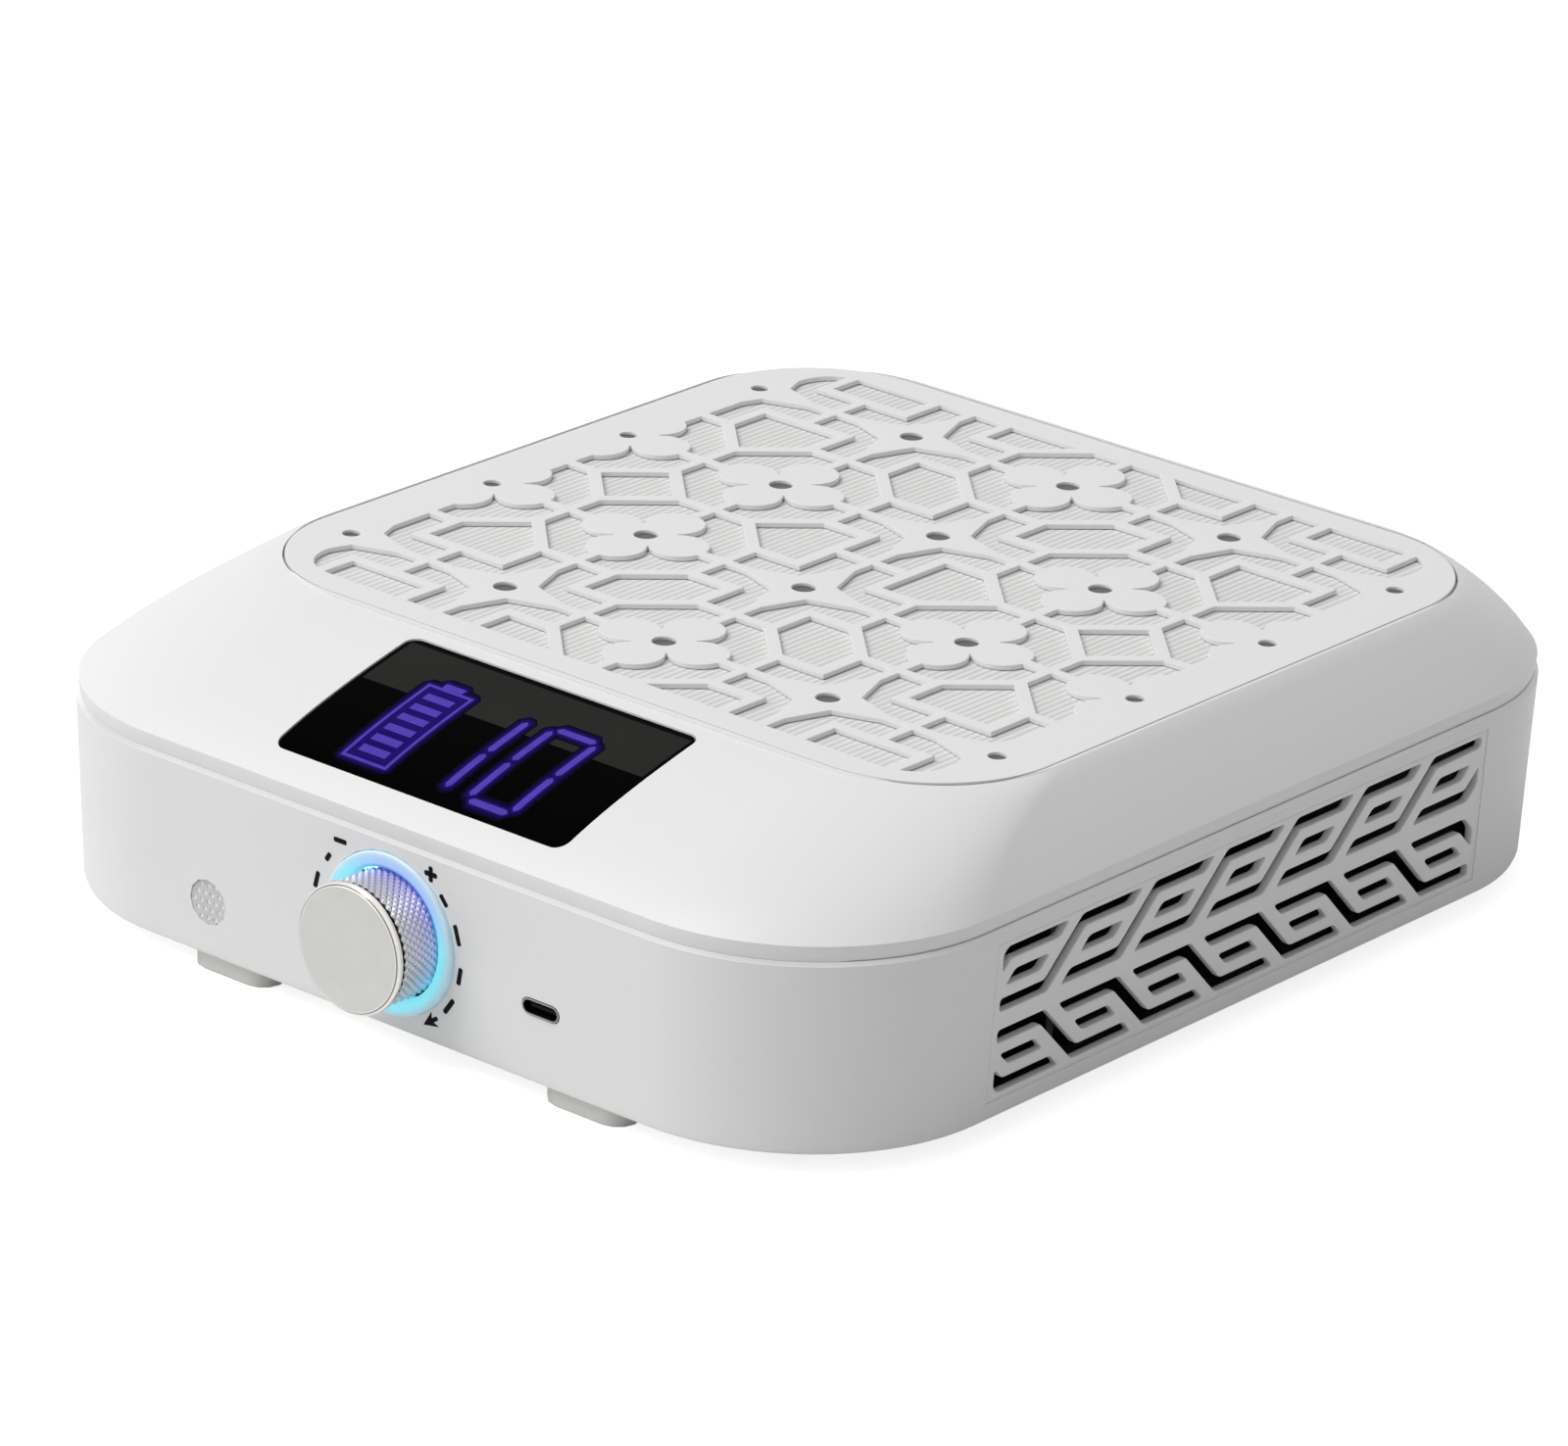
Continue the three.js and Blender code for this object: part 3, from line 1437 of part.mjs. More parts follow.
// Sounder and the perforated disc in front of it
function portDisc() {
  let disc = discOf(0, 0, -portRecess - portThickness, -portRecess, portRadius, smallSteps);
  const places = [[0, 0]];
  for (let ring = 1; ring <= 2; ring += 1) {
    for (let side = 0; side < hexSteps; side += 1) {
      for (let step = 0; step < ring; step += 1) {
        const from = polar(ring * portHolePitch, (fullTurn * side) / hexSteps);
        const to = polar(ring * portHolePitch, (fullTurn * (side + 1)) / hexSteps);
        const place = from.lerp(to, step / ring);
        places.push([place.x, place.y]);
      }
    }
  }
  for (const [x, y] of places) {
    const holeBack = -portRecess - portThickness - cutOver;
    const hole = discOf(x, y, holeBack, cutOver, portHoleRadius, portHoleSides);
    disc = disc.subtract(hole);
  }
  return onFront(disc, portX, portZ);
}

piece("sounder_port", portDisc(), "portMesh");
const sounderCan = discOf(0, 0, -sounderFront - sounderDepth, -sounderFront, sounderRadius, smallSteps);
const sounderMouth = discOf(
  0,
  0,
  -sounderFront - sounderMouthDepth,
  -sounderFront + cutOver,
  sounderMouthRadius,
  tinySteps,
);
piece("sounder", onFront(sounderCan.subtract(sounderMouth), portX, portZ), "darkPlastic");

// Rechargeable cells in their holder
const cellRows = [cellRowBack, cellRowBack + cellRadius * 2 + cellRowGap];
const holderZ = floorZ + seatGap;
const cellZ = holderZ + holderFloor + seatGap + cellRadius;
const holderLeft = -(bodyWidth / 2 - holderSideGap);
const holderRight = -encoderHalf - holderEncoderGap;
const cellStart = holderLeft + holderWall + seatGap;
const cellWhole = holderRight - holderWall - seatGap - cellStart;
const cellLength = cellWhole - cellButtonHeight;

function cellHolder() {
  const front = latticeY - cellRows[1] - cellRadius - seatGap - holderWall;
  const back = latticeY - cellRows[0] + cellRadius + seatGap + holderWall;
  const block = boxOf(holderLeft, holderRight, front, back, holderZ, holderZ + holderHeight);
  const hollow = boxOf(
    holderLeft + holderWall,
    holderRight - holderWall,
    front + holderWall,
    back - holderWall,
    holderZ + holderFloor,
    holderZ + holderHeight + cutOver,
  );
  return block.subtract(hollow);
}

piece("cell_holder", cellHolder(), "darkPlastic");
cellRows.forEach((fromLattice, index) => {
  const can = discOf(0, 0, 0, cellLength, cellRadius, cellSteps);
  const button = discOf(0, 0, cellLength / 2, cellWhole, cellButtonRadius, tinySteps);
  const lying = can.add(button).rotate([0, 90, 0]);
  piece(`battery_cell_${index + 1}`, lying.translate([cellStart, latticeY - fromLattice, cellZ]), "cell");
});

// Feet
footPlaces.forEach(([x, y], index) => {
  piece(`foot_${index + 1}`, footBlock(x, y, 0, 0, baseZ + footPlug), "rubber");
});

// Case screws from below and deck screws from above
function screwOf(x, y, headZ, direction, headRadius, headHeight, tipZ) {
  const headEnd = headZ + direction * headHeight;
  const head = discOf(x, y, Math.min(headZ, headEnd), Math.max(headZ, headEnd), headRadius, petalSteps);
  const shank = discOf(x, y, Math.min(headZ, tipZ), Math.max(headZ, tipZ), caseShankRadius, tinySteps);
  return head.add(shank);
}

casePosts.forEach(([x, y], index) => {
  const headZ = partingZ - caseShelfDrop - seatGap;
  const tipZ = partingZ + caseScrewReach;
  const screw = screwOf(x, y, headZ, -1, caseHeadRadius, caseHeadHeight, tipZ);
  piece(`case_screw_${index + 1}`, screw, "steel");
});
deckPlaces.forEach(([x, y], index) => {
  const headZ = deckTopZ + seatGap;
  const screw = screwOf(x, y, headZ, 1, deckHeadRadius, deckHeadHeight, deckTopZ - deckScrewReach);
  piece(`deck_screw_${index + 1}`, screw, "steel");
});

export default group;
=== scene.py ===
# %% [markdown]
# Nail dust collector: dressing a CAD frame
# The CAD model holds every piece at its real size and place, and is loaded as a fixed frame.
# Pieces that show are copied or modelled again with rounder corners and finer detail, and
# every piece gets a finish. Nothing is moved.

# %% Load the frame
import functools
import math

import bmesh
import bpy
from mathutils import Matrix, Vector


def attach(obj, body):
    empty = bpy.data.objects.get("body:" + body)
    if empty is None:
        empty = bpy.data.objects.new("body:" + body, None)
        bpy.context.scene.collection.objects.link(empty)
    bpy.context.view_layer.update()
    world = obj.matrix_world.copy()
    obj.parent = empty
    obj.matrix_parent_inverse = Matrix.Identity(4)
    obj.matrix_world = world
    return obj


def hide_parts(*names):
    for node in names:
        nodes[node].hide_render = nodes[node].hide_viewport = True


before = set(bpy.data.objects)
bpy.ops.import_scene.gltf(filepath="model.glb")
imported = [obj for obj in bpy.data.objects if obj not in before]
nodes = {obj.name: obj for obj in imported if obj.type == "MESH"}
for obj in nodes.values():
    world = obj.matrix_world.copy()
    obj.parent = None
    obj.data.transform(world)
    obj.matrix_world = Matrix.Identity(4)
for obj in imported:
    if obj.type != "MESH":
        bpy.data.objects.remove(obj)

scene = bpy.context.scene
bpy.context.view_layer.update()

# %% [markdown]
# Sizes are in millimetres, as on a drawing. The housing's are repeated here because its
# shells are modelled again on them.

# %% Sizes of the housing
MM = 0.001
WELD, NEAR = 0.002 * MM, 0.01 * MM
BODY_WIDTH = 210.0
FRONT_Y, BACK_Y = -113.55, 124.05
LATTICE_Y = 20.85
CORNER_RADIUS, CROWN_RADIUS = 43.0, 33.0
SEAM_Z, LIP_Z, TOP_Z = 42.0, 44.9, 60.0
SEAM_GAP = 0.4
WALL = 2.5
BASE_DRAFT = 1.5
WALL_FOOT, WALL_TOP = 5.2, 41.1
WALL_LEAN = math.atan2(BASE_DRAFT, WALL_TOP - WALL_FOOT)
LIP_DRAFT = 0.4
SIDE_RUN, FRONT_RUN, BACK_RUN = 13.6, 47.0, 15.8
SIDE_BULGE, FRONT_BULGE, BACK_BULGE = 0.15, 0.5, 0.45
KNOB_Z = 23.3
PORT_DEPTH = 1.3
CORNERS = ((1, 1), (-1, 1), (-1, -1), (1, -1))
print("housing:", BODY_WIDTH, "by", BACK_Y - FRONT_Y, "by", TOP_Z, "mm")

# %% [markdown]
# The camera stands where the photographer's stood. Its place and turn come from lining up
# the lattice's holes, whose spacing is known, with the picture. A long lens keeps the
# perspective weak.

# %% Camera
AZIMUTH, ELEVATION, ROLL = (math.radians(angle) for angle in (39.844, 21.707, 2.072))
CAMERA_PLACE = Vector((0.92992, -1.11796, 0.61133))
SENSOR_WIDTH, LENS_LENGTH = 36.0, 188.53

bpy.ops.object.camera_add(location=CAMERA_PLACE)
camera = bpy.context.active_object
camera.name = "photo_camera"
camera.rotation_euler = (
    Matrix.Rotation(AZIMUTH, 3, "Z")
    @ Matrix.Rotation(math.pi / 2 - ELEVATION, 3, "X")
    @ Matrix.Rotation(ROLL, 3, "Z")).to_euler()
camera.data.sensor_width, camera.data.lens = SENSOR_WIDTH, LENS_LENGTH
camera.data.clip_start, camera.data.clip_end = 0.05, 20.0
scene.camera = camera
print("camera: lens", camera.data.lens, "mm at", [round(value, 3) for value in camera.location])

# %% [markdown]
# Modelling helpers. An operator works on whatever is selected, so each step picks its own
# piece. Places live in the meshes, so every object ends at the origin, unturned.

# %% Picking, settling and modifiers
def deselect():
    bpy.ops.object.select_all(action="DESELECT")


def pick(piece):
    deselect()
    piece.select_set(True)
    bpy.context.view_layer.objects.active = piece


def edit(piece):
    pick(piece)
    bpy.ops.object.mode_set(mode="EDIT")
    bpy.context.tool_settings.mesh_select_mode = (True, False, False)


def select_mesh():
    bpy.ops.mesh.select_all(action="SELECT")


def leave():
    """Leaves edit mode."""
    bpy.ops.object.mode_set(mode="OBJECT")
    return bpy.context.active_object


def close_up():
    """Turns every face outward and leaves edit mode."""
    select_mesh()
    bpy.ops.mesh.normals_make_consistent(inside=False)
    return leave()


def extrude(*way):
    bpy.ops.mesh.extrude_region_move(TRANSFORM_OT_translate={"value": way})


def weld(distance=WELD):
    select_mesh()
    bpy.ops.mesh.remove_doubles(threshold=distance)


def named(piece, name):
    piece.name = name
    piece.data.name = name
    return piece


def settle(piece, name=None):
    pick(piece)
    bpy.ops.object.transform_apply(location=True, rotation=True, scale=True)
    return named(piece, name or piece.name)


def modify(piece, kind, **settings):
    pick(piece)
    change = piece.modifiers.new(kind.lower(), kind)
    for key, value in settings.items():
        setattr(change, key, value)
    bpy.ops.object.modifier_apply(modifier=change.name)
    return piece


def combine(piece, tool, way="DIFFERENCE"):
    """Cuts, joins or intersects a piece with a tool shape, which is used up."""
    modify(piece, "BOOLEAN", object=tool, operation=way, solver="MANIFOLD")
    bpy.data.objects.remove(tool)
    return piece


def join(pieces, name):
    deselect()
    for piece in pieces:
        piece.select_set(True)
    bpy.context.view_layer.objects.active = pieces[0]
    bpy.ops.object.join()
    return named(bpy.context.active_object, name)


def copied(node, name):
    """A new piece with the shape of a CAD node, its triangles welded and flat faces merged."""
    piece = named(bpy.data.objects.new(name, nodes[node].data.copy()), name)
    scene.collection.objects.link(piece)
    edit(piece)
    weld()
    bpy.ops.mesh.customdata_custom_splitnormals_clear()
    select_mesh()
    bpy.ops.mesh.dissolve_limited(angle_limit=math.radians(0.3))
    return leave()


def soften(piece, width, segments=2, angle=30.0):
    """Rounds the sharp edges of a piece a little, as a moulding's are."""
    return modify(piece, "BEVEL", width=width * MM, segments=segments, limit_method="ANGLE",
                  angle_limit=math.radians(angle), use_clamp_overlap=True)


def smooth(piece, angle):
    pick(piece)
    bpy.ops.object.shade_smooth_by_angle(angle=math.radians(angle))
    return modify(piece, "WEIGHTED_NORMAL", keep_sharp=True, weight=100)


def stand_for(piece, body, finish, slot, *cad_nodes):
    """Gives a finished piece its material and the body it moves with, and hides the CAD nodes that it
    replaces.
    """
    piece.data.materials.clear()
    piece.data.materials.append(finish)
    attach(piece, body)
    if cad_nodes:
        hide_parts(*cad_nodes)
    print(piece.name + ":", len(piece.data.polygons), "faces, rides on", body)
    return piece


# %% Primitives at a size and place in millimetres
def block(name, low, high):
    low, high = Vector(low) * MM, Vector(high) * MM
    deselect()
    bpy.ops.mesh.primitive_cube_add(size=1, location=(low + high) / 2)
    piece = bpy.context.active_object
    piece.scale = high - low
    return settle(piece, name)


def disc(name, centre, radius, low, high, axis="Z", vertices=64):
    """A round bar between two levels along Z, or between two depths along Y."""
    deselect()
    turn = (0, 0, 0) if axis == "Z" else (math.pi / 2, 0, 0)
    middle = (low + high) / 2
    place = (centre[0], centre[1], middle) if axis == "Z" else (centre[0], middle, centre[1])
    bpy.ops.mesh.primitive_cylinder_add(
        vertices=vertices, radius=radius * MM, depth=(high - low) * MM,
        location=[value * MM for value in place], rotation=turn)
    return settle(bpy.context.active_object, name)


def discs(name, places, low, high, axis="Z", vertices=32):
    """Round bars in one piece, from each one's centre and radius."""
    return join([
        disc(f"{name}_{count}", centre, radius, low, high, axis, vertices)
        for count, (centre, radius) in enumerate(places)
    ], name)


def rounded_slab(name, half_x, half_y, radius, low, high, middle_y=LATTICE_Y, steps=12):
    """A flat slab with rounded corners."""
    return loft(name, [
        dict(z=z, half=half_x, front=middle_y - half_y, back=middle_y + half_y, radius=radius)
        for z in (low, high)
    ], steps)


# %% [markdown]
# The housing's shells are stacks of rounded rectangles. A plane's corners are bevelled to
# arcs, each next level is extruded up, and every corner is scaled about its own centre and
# moved. That gives draft, fillets and the curve of the slopes.

# %% Loft through rounded rectangles
def corner_centre(row, sign_x, sign_y):
    edge_y = row["back"] if sign_y > 0 else row["front"]
    return sign_x * (row["half"] - row["radius"]), edge_y - sign_y * row["radius"]


def choose(mesh, test):
    """Selects the vertices that pass a test, and the edges and faces that they span."""
    shape = bmesh.from_edit_mesh(mesh)
    shape.select_mode = {"VERT"}
    for vertex in shape.verts:
        vertex.select = test(vertex.co)
    shape.select_flush_mode()
    bmesh.update_edit_mesh(mesh, loop_triangles=False, destructive=False)


def loft(name, rows, steps=24):
    first = rows[0]
    half_depth = (first["back"] - first["front"]) / 2
    middle_y = (first["back"] + first["front"]) / 2
    deselect()
    bpy.ops.mesh.primitive_plane_add(size=2, enter_editmode=True)
    piece = named(bpy.context.active_object, name)
    bpy.context.tool_settings.mesh_select_mode = (True, False, False)
    bpy.ops.transform.resize(value=(first["half"] * MM, half_depth * MM, 1), center_override=(0, 0, 0))
    bpy.ops.transform.translate(value=(0, middle_y * MM, first["z"] * MM))
    bpy.ops.mesh.bevel(offset=first["radius"] * MM, segments=steps, affect="VERTICES", clamp_overlap=False)
    for below, row in zip(rows, rows[1:]):
        rise = (row["z"] - below["z"]) * MM
        extrude(0, 0, rise)
        level_z = row["z"] * MM
        for sign_x, sign_y in CORNERS:
            start_x, start_y = corner_centre(below, sign_x, sign_y)
            end_x, end_y = corner_centre(row, sign_x, sign_y)
            growth = row["radius"] / below["radius"]
            if growth == 1 and (start_x, start_y) == (end_x, end_y):
                continue
            choose(piece.data, lambda co: (
                abs(co.z - level_z) < NEAR
                and co.x * sign_x > 0
                and (co.y - middle_y * MM) * sign_y > 0
            ))
            bpy.ops.transform.resize(
                value=(growth, growth, 1), center_override=(start_x * MM, start_y * MM, level_z))
            bpy.ops.transform.translate(value=((end_x - start_x) * MM, (end_y - start_y) * MM, 0))
        choose(piece.data, lambda co: abs(co.z - level_z) < NEAR)
    return close_up()


def housing_row(z, side, front=None, back=None, radius=None):
    front = side if front is None else front
    back = side if back is None else back
    return dict(
        z=z, half=BODY_WIDTH / 2 - side, front=FRONT_Y + front, back=BACK_Y - back,
        radius=CORNER_RADIUS - side if radius is None else radius)


# %% Rows of the cover's slopes
SLOPE_STEPS = 14
CROWN_ROLL = ((0.0, 0.35), (0.22, 0.12), (0.5, 0.0))


def cover_rows(inset, drop, start):
    """Levels of the cover's skin, moved in and lowered for its hollow and its window."""
    rows = [housing_row(start, inset)]
    if start < LIP_Z - drop:
        rows.append(housing_row(LIP_Z - drop, inset + LIP_DRAFT))
    for step in range(1, SLOPE_STEPS + 1):
        share = step / SLOPE_STEPS
        z = LIP_Z + (TOP_Z - LIP_Z) * share - drop
        side, front, back = (
            inset + LIP_DRAFT + run * ((1 - bulge) * share + bulge * share * share)
            for run, bulge in ((SIDE_RUN, SIDE_BULGE), (FRONT_RUN, FRONT_BULGE), (BACK_RUN, BACK_BULGE)))
        radius = CORNER_RADIUS + (CROWN_RADIUS - CORNER_RADIUS) * share - inset
        # The crown's edge is rolled over in three small steps
        for roll, down in CROWN_ROLL if step == SLOPE_STEPS else ((0.0, 0.0),):
            rows.append(housing_row(z - down, side + roll, front, back + roll, radius))
    return rows


print("slopes:", len(cover_rows(0, 0, SEAM_Z)), "levels")

# %% [markdown]
# Shader helpers. A finish is a small network of nodes. Sums are easier to read as Python
# expressions, so a thin class wraps a socket and adds the Math nodes.

# %% Values and finishes
class Value:
    """A number that varies over the surface, for use in plain expressions."""

    def __init__(self, finish, socket):
        self.finish = finish
        self.socket = socket

    def math(self, operation, *others):
        inputs = dict(enumerate((self, *others)))
        return self.finish.value("ShaderNodeMath", 0, inputs, operation=operation)

    def __rsub__(self, other):
        return (self * -1.0) + other

    def between(self, low, high, smooth=True):
        """0 below low, 1 above high, and a soft step between them."""
        limits = {"Value": self, "From Min": low, "From Max": high}
        kind = "SMOOTHSTEP" if smooth else "LINEAR"
        return self.finish.value("ShaderNodeMapRange", "Result", limits, interpolation_type=kind)

    def past(self, low, high, smooth=True):
        """The same for a length, with its limits in millimetres."""
        return self.between(low * MM, high * MM, smooth)


# Each of these methods is one Math node
for method, operation in dict(
    __add__="ADD", __sub__="SUBTRACT", __mul__="MULTIPLY", __truediv__="DIVIDE",
    power="POWER", wave="SINE", size="ABSOLUTE", most="MAXIMUM",
).items():
    setattr(Value, method, functools.partialmethod(Value.math, operation))


class Network:
    """A tree of shader nodes."""

    def __init__(self, tree):
        self.tree = tree

    def feed(self, socket, value):
        if isinstance(value, Value):
            self.tree.links.new(value.socket, socket)
        elif socket.type == "RGBA":
            socket.default_value = (*value, 1.0)
        else:
            socket.default_value = value

    def node(self, kind, inputs=None, **settings):
        made = self.tree.nodes.new(kind)
        for key, value in settings.items():
            setattr(made, key, value)
        for key, value in (inputs or {}).items():
            self.feed(made.inputs[key], value)
        return made

    def value(self, kind, output, inputs=None, **settings):
        return Value(self, self.node(kind, inputs, **settings).outputs[output])

    def rays(self, *kinds):
        """1 for rays of each kind, as the camera's or a mirror's."""
        return [self.value("ShaderNodeLightPath", f"Is {kind} Ray") for kind in kinds]


class Finish(Network):
    """One material and the nodes in it."""

    def __init__(self, name, **surface):
        self.material = bpy.data.materials.new(name)
        self.material.use_nodes = True
        super().__init__(self.material.node_tree)
        self.set(**surface)

    def set(self, **surface):
        shader = self.tree.nodes["Principled BSDF"]
        for socket, value in surface.items():
            self.feed(shader.inputs[socket.replace("_", " ")], value)

    def where(self):
        """The object coordinates, in metres."""
        return self.value("ShaderNodeTexCoord", "Object")

    def place(self):
        split = self.node("ShaderNodeSeparateXYZ", dict(Vector=self.where()))
        return [Value(self, output) for output in split.outputs]

    def about_knob(self):
        """Across, depth, height above the knob's axis and distance to it."""
        x, y, z = self.place()
        up = z - KNOB_Z * MM
        return x, y, up, (x * x + up * up).power(0.5)

    def at(self, x, y, z):
        return self.value("ShaderNodeCombineXYZ", "Vector", dict(X=x, Y=y, Z=z))

    def noise(self, scale, detail, rough=0.5, vector=None):
        """Cloudy noise. The scale is in patches per metre."""
        inputs = dict(Vector=vector or self.where(), Scale=scale, Detail=detail, Roughness=rough)
        return self.value("ShaderNodeTexNoise", "Fac", inputs)

    def cells(self, feature, scale):
        return self.value("ShaderNodeTexVoronoi", "Distance", dict(Scale=scale), feature=feature)

    def blend(self, share, first, second):
        return self.value("ShaderNodeMix", 2, {0: share, 6: first, 7: second}, data_type="RGBA")

    def done(self, relief=None, **surface):
        """Sets the rest. A relief is a height from 0 to 1, a depth in metres and a strength."""
        self.set(**surface)
        if relief:
            inputs = dict(zip(("Height", "Distance", "Strength"), relief))
            self.set(Normal=self.value("ShaderNodeBump", "Normal", inputs))
        return self.material


# %% [markdown]
# The white mouldings are a satin ABS with a very fine spark texture. The gloss drifts a
# little where the plastic flowed. The same recipe serves the inner mouldings too.

# %% Moulded plastics
def moulded(name, colour, roughness, grain=2600.0, depth=0.000012, drift=0.02, painted_inner_shade=None):
    """A plastic. A painted inner shade is painted shade: a dark colour on the tray's inside, behind the
    walls.
    """
    finish = Finish(name, IOR=1.46)
    cloud = finish.noise(18.0, 2.0)
    fine = finish.noise(grain, 2.0)
    tone = finish.blend(cloud, [max(0.0, channel - drift) for channel in colour], colour)
    if painted_inner_shade:
        # Painted shade: faces inside the tray's walls and above its floor are painted near black
        dark = finish.blend(fine, [0.5 * channel for channel in painted_inner_shade], painted_inner_shade)
        tone = finish.blend(inside_walls(finish), tone, dark)
        # The rim under the cover has painted light: painted shade in front, where it faces the lamps, and a
        # painted highlight at the sides
        x, y, z = finish.place()
        rim = finish.blend(x.size().past(75, 100), (0.62, 0.62, 0.615), (0.90, 0.90, 0.895))
        tone = finish.blend(z.past(WALL_TOP, WALL_TOP + 0.1), tone, rim)
    gloss = (cloud - 0.5) * 0.06 + (fine - 0.5) * 0.08 + roughness
    return finish.done((fine, depth), Base_Color=tone, Roughness=gloss)


def inside_walls(finish):
    """1 on faces further in than the walls of the rounded outline and above the floor."""
    x, y, z = finish.place()
    middle_y = (FRONT_Y + BACK_Y) / 2 * MM
    reach_x = (x.size() - (BODY_WIDTH / 2 - CORNER_RADIUS) * MM).most(0.0)
    reach_y = ((y - middle_y).size() - ((BACK_Y - FRONT_Y) / 2 - CORNER_RADIUS) * MM).most(0.0)
    depth = CORNER_RADIUS * MM - (reach_x * reach_x + reach_y * reach_y).power(0.5)
    return depth.past(2.0, 2.4) * z.past(4.5, 5.0)


# The base's tray has painted shade inside its walls and painted light on its rim
white_base = moulded("white_base", (0.80, 0.80, 0.795), 0.34, painted_inner_shade=(0.012, 0.012, 0.013))
white_shell = moulded("white_shell", (0.80, 0.80, 0.795), 0.34)
white_panel = moulded("white_panel", (0.80, 0.80, 0.80), 0.46, 2200.0, 0.00002)
white_vents = moulded("white_vents", (0.80, 0.80, 0.795), 0.40)
filter_plastic = moulded("filter_plastic", (0.70, 0.695, 0.67), 0.55)
dark_plastic = moulded("dark_plastic", (0.022, 0.023, 0.025), 0.5, 1800.0, 0.00003, 0.006)
# Painted shade: a dark grey for the discs in the lattice's holes
hole_shade_grey = moulded("hole_shade_grey", (0.10, 0.10, 0.105), 0.5)
print("plastics:", len(bpy.data.materials), "finishes")

# %% [markdown]
# Filter paper is a mat of short fibres: noise that is stretched along two directions. A
# soft cloud makes some of it a little greyer, where dust sits.

# %% Filter paper and sealing foam
def ribbed(along, pitch):
    """From 0 to 1 and back in each pitch, which is in millimetres."""
    return ((along * (2 * math.pi / (pitch * MM))).wave() + 1.0) * 0.5


def paper():
    finish = Finish("filter_paper", Roughness=0.95)
    x, y, z = finish.place()
    ribs = ribbed(x, 1.6)
    fibres = finish.noise(900.0, 4.0, 0.6, finish.at(x * 3.0, y, z))
    cross = finish.noise(700.0, 3.0, 0.6, finish.at(x, y * 3.0, z * 2.0))
    mat = (fibres + cross) * 0.5
    # The ribs also darken the colour along their valleys: painted shade, beside the relief they raise
    tone = mat * 0.3 + finish.noise(30.0, 2.0) * 0.2 + ribs * 0.5
    return finish.done(
        (ribs * 0.8 + mat * 0.2, 0.00022, 0.8),
        Base_Color=finish.blend(tone, (0.56, 0.56, 0.555), (0.90, 0.90, 0.89)))


def foam():
    finish = Finish("sealing_foam", Roughness=0.95)
    pores = finish.cells("F1", 1400.0)
    tone = finish.blend(pores, (0.02, 0.02, 0.022), (0.09, 0.09, 0.095))
    return finish.done((pores, 0.0003, 0.8), Base_Color=tone)


filter_paper, sealing_foam = paper(), foam()
print("with the filter's:", len(bpy.data.materials), "finishes")

# %% [markdown]
# Metals. Steel parts are drawn, so their fine lines run one way. The knob's face is
# turned: its lines are rings, drawn from the distance to the knob's axis.

# %% Steel, turned face and knurled side
def drawn_steel(name, colour, roughness, stretch=(40.0, 40.0, 2200.0)):
    finish = Finish(name, Metallic=1.0)
    drawn = finish.at(*(side * factor for side, factor in zip(finish.place(), stretch)))
    lines = finish.noise(1.0, 4.0, 0.6, drawn)
    return finish.done(
        (lines, 0.00001, 0.5),
        Base_Color=finish.blend(lines, [channel * 0.8 for channel in colour], colour),
        Roughness=lines * 0.2 + (roughness - 0.1))


def turned_metal():
    """Rings, then a polished edge painted brighter, a painted highlight seen as a bright line; a thin dark
    line painted on its bevel as painted shade; and painted shade on the back, in the groove towards the
    grip.
    """
    finish = Finish("turned_face", Metallic=1.0)
    x, y, up, radius = finish.about_knob()
    rings = finish.noise(1.0, 2.0, 0.5, finish.at(radius * 5200.0, 0.0, 0.0))
    scuffs = finish.noise(260.0, 3.0)
    face = finish.blend(rings * 0.7 + scuffs * 0.3, (0.54, 0.535, 0.515), (0.72, 0.715, 0.69))
    # Painted highlight: the edge is painted brighter than the face, besides being smoother
    edge = radius.past(11.7, 11.9)
    # Painted shade: the back of the knob, in the groove towards the grip, is painted near black
    groove = radius.past(11.2, 11.5) * y.past(FRONT_Y - 9.3, FRONT_Y - 9.2)
    # Painted shade: a thin dark line on the bevel
    rim = radius.past(11.95, 12.05) * (1.0 - radius.past(12.15, 12.30))
    metal = finish.blend(edge, face, finish.blend(rim, (0.82, 0.80, 0.77), (0.24, 0.23, 0.21)))
    return finish.done(
        (rings, 0.000012, 0.6),
        Base_Color=finish.blend(groove, metal, (0.015, 0.014, 0.013)),
        Roughness=finish.blend(edge, rings * 0.16 + scuffs * 0.06 + 0.22, (0.14, 0.14, 0.14)))


def socket_steel():
    """The charging socket: bright at its rim, dark where no light gets in."""
    finish = Finish("socket_steel", Specular_IOR_Level=0.1)
    x, y, z = finish.place()
    grain = finish.noise(900.0, 2.0)
    deep = y.past(FRONT_Y + 0.55, FRONT_Y + 0.9)
    bright = finish.blend(grain, (0.80, 0.80, 0.80), (0.90, 0.90, 0.90))
    return finish.done(
        Base_Color=finish.blend(deep, bright, (0.004, 0.004, 0.005)),
        Metallic=1.0 - deep, Roughness=grain * 0.1 + 0.3)


